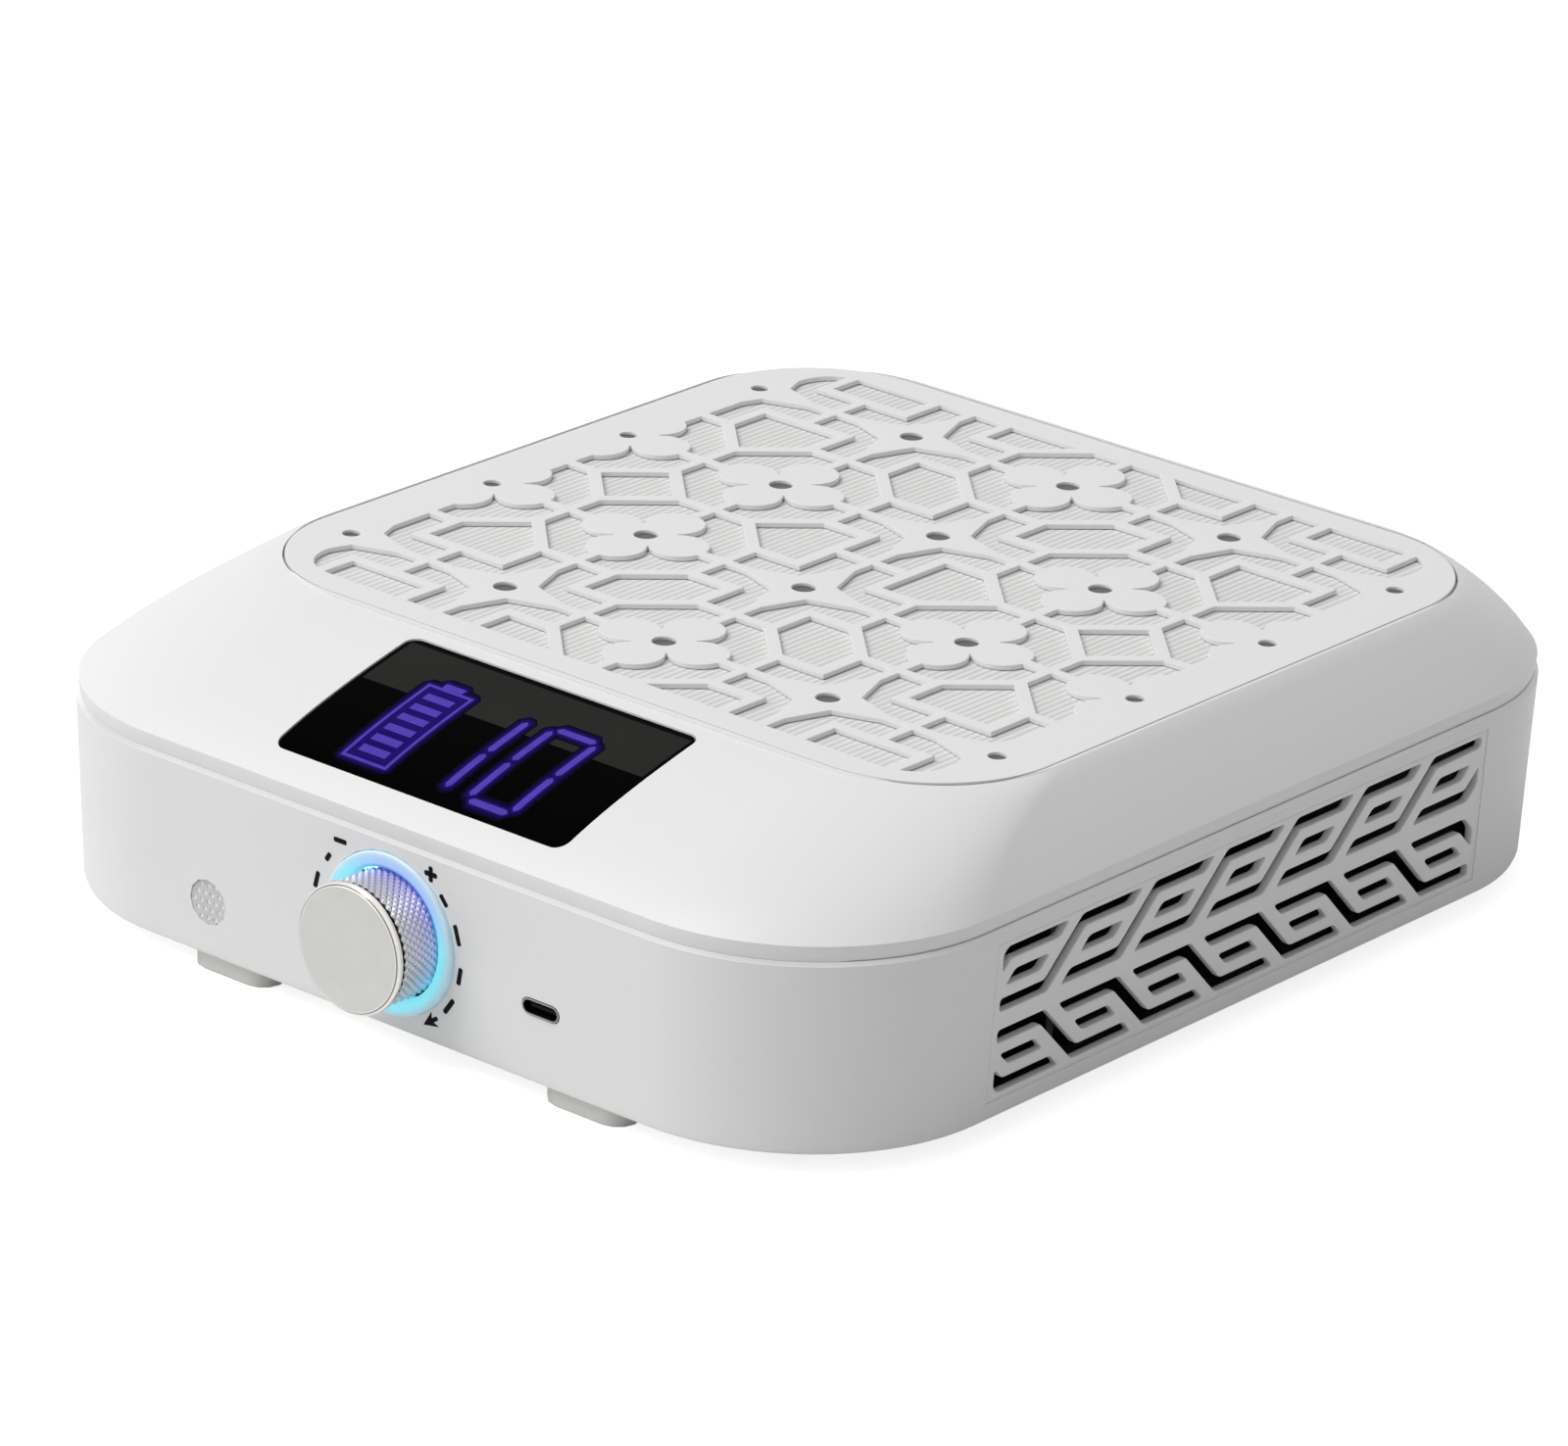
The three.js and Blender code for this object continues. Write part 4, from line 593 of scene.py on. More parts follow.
def knurled_side():
    """The knob's side: neutral in front, with a painted reflection of the lit ring near it, in lilac and
    blue.
    """
    finish = Finish("knurled_metal", Metallic=1.0)
    x, y, up, radius = finish.about_knob()
    scuffs = finish.noise(420.0, 3.0)
    near_ring = y.past(FRONT_Y - 8.5, FRONT_Y - 1.5, smooth=False)
    # Painted reflection of the lit ring: bluer below the axis, lilac above
    painted_ring_reflection = finish.blend(up.past(-10, 8), (0.44, 0.56, 0.72), (0.46, 0.44, 0.68))
    bare = finish.blend(scuffs, (0.46, 0.455, 0.45), (0.60, 0.595, 0.585))
    return finish.done(
        (scuffs, 0.00001, 0.4),
        Base_Color=finish.blend(near_ring, bare, painted_ring_reflection), Roughness=scuffs * 0.12 + 0.30)


plated_steel = drawn_steel("plated_steel", (0.60, 0.60, 0.60), 0.34)
magnet_nickel = drawn_steel("magnet_nickel", (0.48, 0.48, 0.49), 0.30, (900.0, 900.0, 60.0))
knurled_metal, turned_face, socket_metal = knurled_side(), turned_metal(), socket_steel()
print("with the metals:", len(bpy.data.materials), "finishes")

# %% [markdown]
# The motor's winding, the circuit boards and the cells are inside, seen only with the
# grille and the filter lifted: lacquered wire in turns, green solder mask over copper
# tracks, and a glossy shrink sleeve.

# %% Winding, boards, cells and lamps
def winding():
    finish = Finish("copper_winding", Metallic=0.9)
    x, y, z = finish.place()
    turns = ribbed(z, 0.924)
    patches = finish.noise(300.0, 2.0)
    # The turns darken the colour in the grooves between wires: painted shade, beside the relief they raise
    return finish.done(
        (turns, 0.0002, 0.8),
        Base_Color=finish.blend(turns * 0.7 + patches * 0.3, (0.25, 0.09, 0.04), (0.74, 0.36, 0.18)),
        Roughness=patches * 0.2 + 0.3)


def solder_mask():
    finish = Finish("solder_mask", Coat_Weight=0.4)
    track = finish.cells("DISTANCE_TO_EDGE", 230.0).between(0.03, 0.07)
    return finish.done(
        (1.0 - track, 0.00003, 0.8),
        Base_Color=finish.blend(track, (0.03, 0.20, 0.09), (0.012, 0.11, 0.05)),
        Roughness=finish.noise(1500.0, 2.0) * 0.15 + 0.3)


def shrink_sleeve():
    finish = Finish("shrink_sleeve", Coat_Weight=0.5)
    x, y, z = finish.place()
    grain = finish.noise(500.0, 2.0)
    skin = finish.blend(grain, (0.015, 0.10, 0.34), (0.03, 0.15, 0.45))
    return finish.done(
        (grain, 0.00004, 0.5),
        Base_Color=finish.blend(x.past(-10.5, -10.0), skin, (0.62, 0.62, 0.60)),
        Roughness=grain * 0.1 + 0.25)


def lamp_body():
    finish = Finish("lamp_body", Emission_Strength=3.0, Roughness=0.3)
    grain = finish.noise(900.0, 2.0)
    return finish.done(
        Base_Color=finish.blend(grain, (0.75, 0.80, 0.82), (0.90, 0.92, 0.93)),
        Emission_Color=finish.blend(grain, (0.12, 0.55, 0.95), (0.25, 0.75, 1.0)))


copper_winding, green_board, cell_sleeve, lamp = winding(), solder_mask(), shrink_sleeve(), lamp_body()
print("with the inner ones:", len(bpy.data.materials), "finishes")

# %% [markdown]
# The display window is smoked acrylic, nearly black. The ring round the knob is a milky
# light guide over blue-white lamps: cyan where a lamp is near, bluer between them, and
# deep blue along its inner edge.

# %% Window, light ring, sounder port, rubber and print
def smoked_window():
    """Black acrylic inside a black border, with a painted reflection along its upper edge: a grey band."""
    finish = Finish("smoked_window", IOR=1.49, Specular_IOR_Level=0.005)
    x, y, z = finish.place()
    cloud = finish.noise(40.0, 2.0)
    black = finish.blend(cloud, (0.0004, 0.0004, 0.0007), (0.0008, 0.0008, 0.0012))
    painted_reflection = finish.blend(cloud, (0.0200, 0.0200, 0.0190), (0.0260, 0.0260, 0.0245))
    # Painted reflection: a lighter grey band over the window's upper part
    band = (
        y.past(LATTICE_Y - 105.1, LATTICE_Y - 104.9)
        * (1.0 - y.past(LATTICE_Y - 91.8, LATTICE_Y - 91.4))
        * (1.0 - x.size().past(34.3, 34.7))
    )
    return finish.done(Base_Color=finish.blend(band, black, painted_reflection), Roughness=cloud * 0.03 + 0.04)


def ring_light():
    """Cyan at both sides, periwinkle blue towards the upper right, fading to white outside."""
    finish = Finish("ring_light", Roughness=0.4, Emission_Strength=1.0)
    x, y, up, radius = finish.about_knob()
    outward = radius.past(14.0, 15.8)
    towards = ((x * 0.34 + up * 0.94) / radius).between(0.35, 0.95)
    milk = finish.noise(700.0, 2.0)
    cyan = finish.blend(milk, (0.17, 0.64, 0.74), (0.20, 0.70, 0.80))
    blue = finish.blend(milk, (0.27, 0.42, 0.76), (0.30, 0.47, 0.82))
    inner = finish.blend(radius.past(12.9, 13.6), (0.10, 0.20, 0.62), blue)
    faint = finish.blend(milk, (0.04, 0.14, 0.20), (0.06, 0.17, 0.23))
    return finish.done(
        Base_Color=finish.blend(outward, (0.11, 0.16, 0.18), (0.62, 0.66, 0.68)),
        Emission_Color=finish.blend(outward, finish.blend(towards, cyan, inner), faint))


def grained(name, scale, detail, dark, light, relief=None, **surface):
    """Fine noise between two tones. The noise can raise a faint relief as well."""
    finish = Finish(name, **surface)
    grain = finish.noise(scale, detail)
    return finish.done(relief and (grain, *relief), Base_Color=finish.blend(grain, dark, light))


def lit_segment():
    """Glows violet, a little unevenly."""
    finish = Finish(
        "lit_segment", Base_Color=(0.01, 0.005, 0.04), Emission_Strength=1.0, Specular_IOR_Level=0.01)
    grain = finish.noise(420.0, 2.0)
    return finish.done(
        Emission_Color=finish.blend(grain, (0.058, 0.036, 0.32), (0.092, 0.058, 0.46)),
        Roughness=grain * 0.1 + 0.1)


def halo_glow(name, shine):
    """The blue haze round a lit mark, weaker in each wider layer."""
    finish = Finish(name, Base_Color=(0.0, 0.0, 0.002), Emission_Strength=1.0, Specular_IOR_Level=0.01)
    tone = (0.10 * shine, 0.03 * shine, shine)
    dim = [0.75 * channel for channel in tone]
    return finish.done(Emission_Color=finish.blend(finish.noise(300.0, 3.0), dim, tone))


def port_mesh():
    """The grey disc over the sounder, with pale gauze at the bottom of its holes."""
    finish = Finish("port_grey", Roughness=0.55)
    x, y, z = finish.place()
    grain = finish.noise(2600.0, 2.0)
    gauze = y.past(FRONT_Y + PORT_DEPTH + 0.08, FRONT_Y + PORT_DEPTH + 0.18)
    face = finish.blend(grain, (0.54, 0.54, 0.535), (0.60, 0.60, 0.595))
    return finish.done((grain, 0.000012), Base_Color=finish.blend(gauze, face, (0.90, 0.90, 0.89)))


window, light_guide, segment_glow, port_grey = smoked_window(), ring_light(), lit_segment(), port_mesh()
foot_rubber = grained(
    "foot_rubber", 1500.0, 3.0, (0.60, 0.60, 0.575), (0.72, 0.72, 0.69), (0.00005, 0.7), Roughness=0.85)
black_ink = grained(
    "black_ink", 3000.0, 2.0, (0.006, 0.006, 0.007), (0.015, 0.015, 0.016),
    Roughness=0.7, Specular_IOR_Level=0.05)
print("with those in front:", len(bpy.data.materials), "finishes")

# %% [markdown]
# Most pieces inside keep their CAD shape, and only get their material here. The pieces
# that show are then made again one by one.

# %% Finishes of the pieces that keep their CAD shape
kept_finishes = {
    filter_plastic: ["filter_frame", "filter_deck"],
    sealing_foam: ["filter_gasket"],
    dark_plastic: ["fan_housing", "impeller", "display_module", "encoder_plunger", "control_chip",
                   "power_capacitor", "sounder", "cell_holder"],
    plated_steel: ["motor_base", "motor_bearing_lower", "motor_bearing_upper", "fan_shaft", "rotor_can",
                   "knob_shaft", "encoder_body"]
                  + [f"{kind}_screw_{count}" for kind in ("case", "deck") for count in range(1, 5)],
    magnet_nickel: ["rotor_magnet_ring"],
    copper_winding: ["motor_stator"],
    green_board: ["led_board", "main_board"],
    cell_sleeve: ["battery_cell_1", "battery_cell_2"],
    lamp: [f"ring_led_{count}" for count in range(1, 5)],
}
for finish, names in kept_finishes.items():
    for name in names:
        nodes[name].data.materials.clear()
        nodes[name].data.materials.append(finish)
print("kept nodes:", sum(len(names) for names in kept_finishes.values()))

# %% [markdown]
# The base is a deep tray whose corners are six flat facets each. A copy is cut again by
# upright planes through a corner's axis, and each new line of points is pushed out to the
# true arc. The facets become four times as many, and the rest stays as it is.

# %% Rounder corners
def round_corners(piece, half_x, front, back, radius, facets=6, cuts=3):
    facet = math.pi / 2 / facets
    edit(piece)
    for sign_x, sign_y in CORNERS:
        axis_x = sign_x * (half_x - radius) * MM
        axis_y = (back - radius if sign_y > 0 else front + radius) * MM

        def in_corner(co):
            return (co.x - axis_x) * sign_x > -NEAR and (co.y - axis_y) * sign_y > -NEAR

        planes = []
        for count in range(facets):
            for cut in range(1, cuts + 1):
                offset = (cut / (cuts + 1) - 0.5) * facet
                angle = (count + 0.5) * facet + offset
                across = Vector((-sign_y * math.sin(angle), sign_x * math.cos(angle), 0))
                choose(piece.data, in_corner)
                bpy.ops.mesh.bisect(plane_co=(axis_x, axis_y, 0), plane_no=across, threshold=WELD / 2)
                planes.append((across, math.cos(offset) / math.cos(facet / 2)))
        for across, growth in planes:
            choose(piece.data, lambda co: (
                in_corner(co)
                and abs((co.x - axis_x) * across.x + (co.y - axis_y) * across.y) < 1.5 * WELD
                and math.hypot(co.x - axis_x, co.y - axis_y) > 0.3 * radius * MM
            ))
            bpy.ops.transform.resize(value=(growth, growth, 1), center_override=(axis_x, axis_y, 0))
    return leave()


base = copied("base_shell", "base_tray")
round_corners(base, BODY_WIDTH / 2, FRONT_Y, BACK_Y, CORNER_RADIUS)
smooth(base, 32.0)
stand_for(base, "housing", white_base, "white_shell", "base_shell")

# %% [markdown]
# The cover is a thin shell: a solid of its outside, hollowed with a smaller loft. A ledge
# stays under the panel's recess, the filter's bay is cut right through, and the window
# sits in a pocket that follows the slope.

# %% Top cover
PANEL_X, PANEL_Y, PANEL_RADIUS = 89.6, 85.2, 28.0
PANEL_GAP = 0.45
PANEL_UNDER = 58.95
LEDGE_TOP, LEDGE_UNDER = 58.2, 54.2
BAY_X, BAY_Y, BAY_RADIUS = 79.5, 81.0, 5.0
LENS_X, LENS_TOP, LENS_BOTTOM, LENS_RADIUS = 35.4, 90.2, 127.6, 2.5
LENS_GAP, LENS_THICKNESS, LENS_LEDGE = 0.25, 2.0, 2.2
SEAT_THICKNESS = 1.6
LIP_DIP, LIP_DIP_REACH = 0.13, 16.0
# Each level of the lip: its height over the seam, and how far it is set in at the sides and in front
LIP_LEVELS = ((-0.05, 1.05, 0.8), (0.4, 0.8, 0.7), (1.2, 0.62, 0.55), (2.0, 0.5, 0.45))
SCREW_PLACES = ((82, -117), (-82, -117), (87.5, 83.5), (-87.5, 83.5))
BOSS_RADIUS, SCREW_RADIUS, SCREW_REACH = 3.6, 1.55, 3.9
OVERRUN = 2


def lowered(drop):
    return loft(f"skin_lowered_{round(drop * 100)}", cover_rows(0, drop, SEAM_Z - 6))


def panel_block(name, margin, low):
    half_x, half_y, radius = PANEL_X + margin, PANEL_Y + margin, PANEL_RADIUS + margin
    return rounded_slab(name, half_x, half_y, radius, low, TOP_Z + OVERRUN, steps=24)


def window_block(name, margin, low, high):
    front, back = LATTICE_Y - LENS_BOTTOM - margin, LATTICE_Y - LENS_TOP + margin
    return rounded_slab(
        name, LENS_X + margin, (back - front) / 2, LENS_RADIUS + margin, low, high, (front + back) / 2, 8)


def at_screws(name, radius, low, high, vertices):
    return discs(name, [((x, LATTICE_Y + y), radius) for x, y in SCREW_PLACES], low, high, "Z", vertices)


lip = [housing_row(SEAM_Z + rise, inset, front) for rise, inset, front in LIP_LEVELS]
cover = loft("cover_shell", lip + cover_rows(0, 0, SEAM_Z)[1:])
# In front the lip reaches down behind the base's rim, and at the sides a fine gap is left
edit(cover)
choose(cover.data, lambda co: co.z < SEAM_Z * MM and co.y < (FRONT_Y + LIP_DIP_REACH) * MM)
bpy.ops.transform.translate(value=(0, 0, -LIP_DIP * MM))
leave()
hollow = loft("cover_hollow", cover_rows(WALL, WALL, SEAM_Z - OVERRUN))
combine(hollow, panel_block("panel_ledge", WALL, LEDGE_UNDER))
combine(cover, hollow)
bosses = at_screws("screw_bosses", BOSS_RADIUS, SEAM_Z + SEAM_GAP / 2, TOP_Z, 32)
combine(bosses, lowered(1.0), "INTERSECT")
combine(cover, bosses, "UNION")
combine(cover, at_screws("screw_holes", SCREW_RADIUS, SEAM_Z - OVERRUN, SEAM_Z + SCREW_REACH, 24))
combine(cover, panel_block("panel_recess", PANEL_GAP, LEDGE_TOP))
combine(cover, rounded_slab("filter_bay", BAY_X, BAY_Y, BAY_RADIUS, SEAM_Z - OVERRUN, TOP_Z + OVERRUN))
seat_top = LENS_THICKNESS + 2 * LENS_GAP
seat_band = window_block("window_seat", LENS_LEDGE, SEAM_Z, TOP_Z)
combine(seat_band, lowered(seat_top), "INTERSECT")
combine(seat_band, lowered(seat_top + SEAT_THICKNESS))
combine(cover, seat_band, "UNION")
pocket = window_block("window_pocket", LENS_GAP, SEAM_Z, TOP_Z + OVERRUN)
combine(pocket, lowered(seat_top))
combine(cover, pocket)
combine(cover, window_block("window_through", -LENS_LEDGE, SEAM_Z + SEAM_GAP, TOP_Z + OVERRUN))
smooth(cover, 24.0)
stand_for(cover, "housing", white_shell, "white_shell", "top_cover")

# %% [markdown]
# The window is a curved plate, cut out of the same loft as the slope, but a quarter of a
# millimetre lower.

# %% Display window
lens = window_block("display_window", 0, SEAM_Z, TOP_Z + OVERRUN)
combine(lens, lowered(LENS_GAP), "INTERSECT")
combine(lens, lowered(LENS_GAP + LENS_THICKNESS))
smooth(lens, 30.0)
stand_for(lens, "housing", window, "lens", "display_lens")

# %% [markdown]
# The lit marks are a battery with six bars and two numerals made of straight segments.
# Each is a flat plate with its corners cut, dropped onto the window's curve. Wider and
# fainter copies lie round them as a haze.

# %% Lit segments
SLOPE_BOTTOM, SLOPE_TOP = 9.3, 47.3
MARKS_FRONT, MARKS_DEPTH = 127.4, 35.8
SEGMENT_SHIFT = 1.9
NUMERAL_FOOT, NUMERAL_TOP = 12.4, 38.0
BATTERY_BARS = (15.9, 19.4, 23.0, 26.7, 30.3, 34.0)
BAR_HALF = 0.95
ABOVE_COVER = 70.0
LEAN, LEAN_DOWN = 0.34, 1.45
# How far plates stand off the window, and their thickness, in metres
MARK_LIFT, MARK_THICKNESS = 0.00002, 0.00003
HALO_LIFT, HALO_STEP, HALO_THICKNESS = 0.000011, 0.000003, 0.000001
HALOS = ((0.35, 0.150), (0.7, 0.085), (1.1, 0.040), (1.55, 0.014))


def slope_to_y(along):
    share = (along - SLOPE_BOTTOM) / (SLOPE_TOP - SLOPE_BOTTOM)
    return LATTICE_Y - MARKS_FRONT + share * MARKS_DEPTH


def lit_plate(left, right, low, high, point=0.45, grown=0.0, lean=0.0):
    """A plate between two places across and two along the slope, with its corners cut."""
    near, far = slope_to_y(low) - grown, slope_to_y(high) + grown
    middle = Vector(((left + right) / 2 + SEGMENT_SHIFT, (near + far) / 2, ABOVE_COVER)) * MM
    deselect()
    bpy.ops.mesh.primitive_plane_add(size=1, location=middle, enter_editmode=True)
    bpy.ops.transform.resize(
        value=((right - left + 2 * grown) * MM, (far - near) * MM, 1), center_override=middle)
    if point or grown:
        cut = max(point * min(right - left, far - near), 0.9 * grown)
        bpy.ops.mesh.bevel(offset=cut * MM, segments=1, affect="VERTICES")
    for level in range(int(near) - 1, int(far) + 2):
        select_mesh()
        bpy.ops.mesh.bisect(plane_co=(0, level * MM, 0), plane_no=(0, 1, 0))
    plate = settle(leave())
    # The marks lean: their foot is moved to the left and down
    top = slope_to_y(NUMERAL_TOP)
    reach = top - slope_to_y(NUMERAL_FOOT)
    for vertex in plate.data.vertices:
        share = (top - vertex.co.y / MM) / reach
        vertex.co.x -= lean * share * MM
        vertex.co.y -= LEAN_DOWN * lean * share * MM
    return plate


def segment_plates(grown=0.0):
    bars = [
        # Outline of the battery: sides, foot, shoulders and cap
        (-23.55, -22.85, 12.5, 37.6, 0), (-13.05, -12.35, 12.5, 37.6, 0),
        (-22.8, -13.1, 12.5, 13.2, 0), (-22.8, -13.1, 36.9, 37.6, 0), (-20.4, -15.6, 37.7, 39.2, 0),
    ]
    bars += [(-21.4, -14.7, middle - BAR_HALF, middle + BAR_HALF, 0) for middle in BATTERY_BARS]
    # Numeral one, then numeral nought: uprights, a top and a foot
    numerals = [(left, left + 1.5, low, low + 10.7) for left in (1.05, 7.05, 17.55) for low in (14.3, 25.9)]
    numerals += [(8.5, 17.7, 36.7, 38.2), (8.5, 17.7, 12.5, 14.0)]
    return [lit_plate(*bar, grown=grown) for bar in bars] + [
        lit_plate(*bar, grown=grown, lean=LEAN) for bar in numerals]


def laid_on_window(plates, name, lift, thickness, finish):
    laid = join(plates, name)
    modify(laid, "SHRINKWRAP", target=lens, wrap_method="PROJECT", use_project_z=True,
           use_negative_direction=True, use_positive_direction=False, offset=lift)
    modify(laid, "SOLIDIFY", thickness=thickness, offset=0)
    return stand_for(laid, "housing", finish, "lens")


laid_on_window(segment_plates(), "display_segments", MARK_LIFT, MARK_THICKNESS, segment_glow)
for step, (grown, shine) in enumerate(HALOS):
    halo = halo_glow(f"halo_{step}", shine)
    plates = segment_plates(grown)
    if step == 0:
        plates.append(lit_plate(-22.8, -13.1, 13.2, 36.9, 0))
    laid_on_window(plates, f"segment_halo_{step}", HALO_LIFT - HALO_STEP * step, HALO_THICKNESS, halo)

# %% [markdown]
# The grille panel is a flat plate with a traditional lattice: four-petalled flowers, slim
# stars and straight-sided rings. Rounder petals are joined onto a copy. Its top outline
# is then turned into a flat curve, whose own bevel eases every edge alike.

# %% Grille panel
LATTICE_PITCH = 40.0
PETAL_OFFSET, PETAL_RADIUS = 0.215 * LATTICE_PITCH, 0.148 * LATTICE_PITCH
HOLE_RADIUS, EDGE_HOLE_RADIUS, RIM, SHADE_DISC_GAP = 2.35, 1.75, 0.75, 0.06
FLOWERS = ((0, 1), (0, 2), (1, 1), (1, 2), (2, 0), (2, 3), (3, 1), (3, 2), (4, 1), (4, 2))


def eased_plate(piece, low, high, ease, corner=0.0):
    """Draws a plate again from its top outline, with all its edges rounded a little."""
    edit(piece)
    choose(piece.data, lambda co: co.z < high * MM - NEAR)
    bpy.ops.mesh.delete(type="VERT")
    select_mesh()
    bpy.ops.mesh.region_to_loop()
    bpy.context.tool_settings.mesh_select_mode = (False, True, False)
    bpy.ops.mesh.select_all(action="INVERT")
    bpy.ops.mesh.delete(type="EDGE")
    select_mesh()
    bpy.ops.mesh.delete(type="ONLY_FACE")
    if corner:
        # Stubs too short to be rounded are closed first
        weld(corner * MM)
        select_mesh()
        bpy.ops.mesh.bevel(offset=corner * MM, segments=4, affect="VERTICES", clamp_overlap=True)
    leave()
    bpy.ops.object.convert(target="CURVE")
    outline = bpy.context.active_object
    curve = outline.data
    curve.dimensions, curve.fill_mode = "2D", "BOTH"
    curve.extrude = ((high - low) / 2 - ease) * MM
    curve.bevel_depth, curve.bevel_resolution, curve.offset = ease * MM, 1, -ease * MM
    outline.location.z = (high + low) / 2 * MM
    bpy.ops.object.convert(target="MESH")
    bpy.ops.object.mode_set(mode="EDIT")
    weld(WELD / 2)
    return settle(close_up())


def node_place(column, row):
    return (column - 2) * LATTICE_PITCH, LATTICE_Y + (row - 1.5) * LATTICE_PITCH


def at_nodes(name, inner_radius, edge_radius, low, high):
    """A disc on every node of the lattice, smaller in the two outer columns."""
    return discs(name, [
        (node_place(column, row), edge_radius if column in (0, 4) else inner_radius)
        for column in range(5) for row in range(4)
    ], low, high)


petals = []
for column, row in FLOWERS:
    x, y = node_place(column, row)
    for step_x, step_y in ((1, 0), (-1, 0), (0, 1), (0, -1)):
        place = (x + step_x * PETAL_OFFSET, y + step_y * PETAL_OFFSET)
        if abs(place[0]) <= PANEL_X - PETAL_RADIUS:
            petals.append((place, PETAL_RADIUS))
panel = copied("grille_panel", "lattice_panel")
round_corners(panel, PANEL_X, LATTICE_Y - PANEL_Y, LATTICE_Y + PANEL_Y, PANEL_RADIUS)
combine(panel, discs("petals", petals, PANEL_UNDER, TOP_Z, vertices=40), "UNION")
combine(panel, at_nodes("plugs", HOLE_RADIUS + RIM, EDGE_HOLE_RADIUS + RIM, PANEL_UNDER, TOP_Z), "UNION")
combine(panel, at_nodes("holes", HOLE_RADIUS, EDGE_HOLE_RADIUS, PANEL_UNDER - OVERRUN, TOP_Z + OVERRUN))
panel = eased_plate(panel, PANEL_UNDER, TOP_Z, ease=0.2)
smooth(panel, 35.0)
stand_for(panel, "grille", white_panel, "white_shell", "grille_panel")
# Painted shade: dark grey discs sit low in the lattice's holes, standing for the shade in their depth
shade_disc_foot, shade_disc_top = PANEL_UNDER + 0.05, PANEL_UNDER + 0.45
hole_shade_discs = at_nodes("lattice_hole_shade", HOLE_RADIUS - SHADE_DISC_GAP, EDGE_HOLE_RADIUS - SHADE_DISC_GAP, shade_disc_foot, shade_disc_top)
smooth(soften(hole_shade_discs, 0.12), 40.0)
stand_for(hole_shade_discs, "grille", hole_shade_grey, "white_shell")

# %% [markdown]
# The side vents, the feet and the charging socket keep their CAD outline, with every edge
# eased a little. The pleated paper keeps its folds, under a ribbed fleece.

# %% Side vents, feet, socket and paper
VENT_FRONT, VENT_BACK, VENT_FOOT, VENT_TOP = -67.65, 78.85, 8.0, 39.0
VENT_THICKNESS = 1.9
FLANGE_FOOT, FLANGE_TOP, FLANGE_FRONT, FLANGE_REAR = 5.5, 41.0, 0.18, 1.5
SEAM_WIDTH, FLANGE_OVERLAP = 0.28, 0.8
WALL_INSIDE, WALL_OUTSIDE = 96.0, 108.0
FLEECE_X, FLEECE_Y, FLEECE_RADIUS, FLEECE_TOP = 78.3, 79.8, 4.5, 58.85


def set_in(z):
    """How far the drafted wall stands behind its top edge."""
    return BASE_DRAFT * (WALL_TOP - z) / (WALL_TOP - WALL_FOOT)


def turned(piece, angle):
    piece.rotation_euler = (0, angle, 0)
    return settle(piece)


def seam_flange(sign):
    """A thin rim behind the seam round a vent, so that the seam is a shallow groove."""
    flange = combine(*(
        loft("flange_skin", [housing_row(z, set_in(z) + depth) for z in (FLANGE_FOOT, FLANGE_TOP)])
        for depth in (FLANGE_FRONT, FLANGE_REAR)))
    left, right = sorted((sign * WALL_INSIDE, sign * WALL_OUTSIDE))
    for gap, way in ((SEAM_WIDTH, "INTERSECT"), (-FLANGE_OVERLAP, "DIFFERENCE")):
        low = (left, VENT_FRONT - gap, VENT_FOOT - gap)
        high = (right, VENT_BACK + gap, VENT_TOP + gap)
        combine(flange, block("flange_cut", low, high), way)
    return flange


for side, sign in (("right", 1), ("left", -1)):
    vent = copied(f"side_grille_{side}", f"vent_{side}")
    # The wall's outer face is turned to look up, drawn again as an eased plate and turned back
    face = (BODY_WIDTH / 2) * math.cos(WALL_LEAN) - WALL_TOP * math.sin(WALL_LEAN)
    turn = -sign * (math.pi / 2 + WALL_LEAN)
    vent = turned(eased_plate(turned(vent, turn), face - VENT_THICKNESS, face, ease=0.4, corner=0.7), -turn)
    combine(named(vent, f"vent_{side}"), seam_flange(sign), "UNION")
    smooth(vent, 35.0)
    stand_for(vent, "housing", white_vents, "white_shell", f"side_grille_{side}")
# Each with the bevel's width, steps and angle, and the angle of smooth shading
for node, name, bevel, angle, body, finish, slot in (
    *((f"foot_{count}", f"rubber_foot_{count}", (0.5, 3), 40.0, "housing", foot_rubber, "rubber")
      for count in range(1, 5)),
    ("charge_socket", "charging_socket", (0.08, 2), 35.0, "housing", socket_metal, "steel"),
    ("filter_media", "pleated_paper", (0.12, 2, 20.0), 60.0, "filter", filter_paper, "filter_paper"),
):
    stand_for(smooth(soften(copied(node, name), *bevel), angle), body, finish, slot, node)
fleece = rounded_slab("filter_fleece", FLEECE_X, FLEECE_Y, FLEECE_RADIUS, LEDGE_TOP, FLEECE_TOP)
smooth(soften(fleece, 0.15), 40.0)
stand_for(fleece, "filter", filter_paper, "filter_paper")

# %% [markdown]
# Round parts about the knob's axis are spun: a circle is pulled into the profile's shape,
# then spun a full turn.

# %% Spinning a profile about the knob's axis
def outline_through(points, fill="NOTHING"):
    """Pulls a circle's vertices to points in millimetres, and stays in edit mode."""
    deselect()
    bpy.ops.mesh.primitive_circle_add(
        vertices=len(points), radius=10 * MM, fill_type=fill, enter_editmode=True)
    mesh = bpy.context.active_object.data
    shape = bmesh.from_edit_mesh(mesh)
    for vertex, point in zip(shape.verts, points):
        vertex.co = Vector(point) * MM
    bmesh.update_edit_mesh(mesh)
    select_mesh()


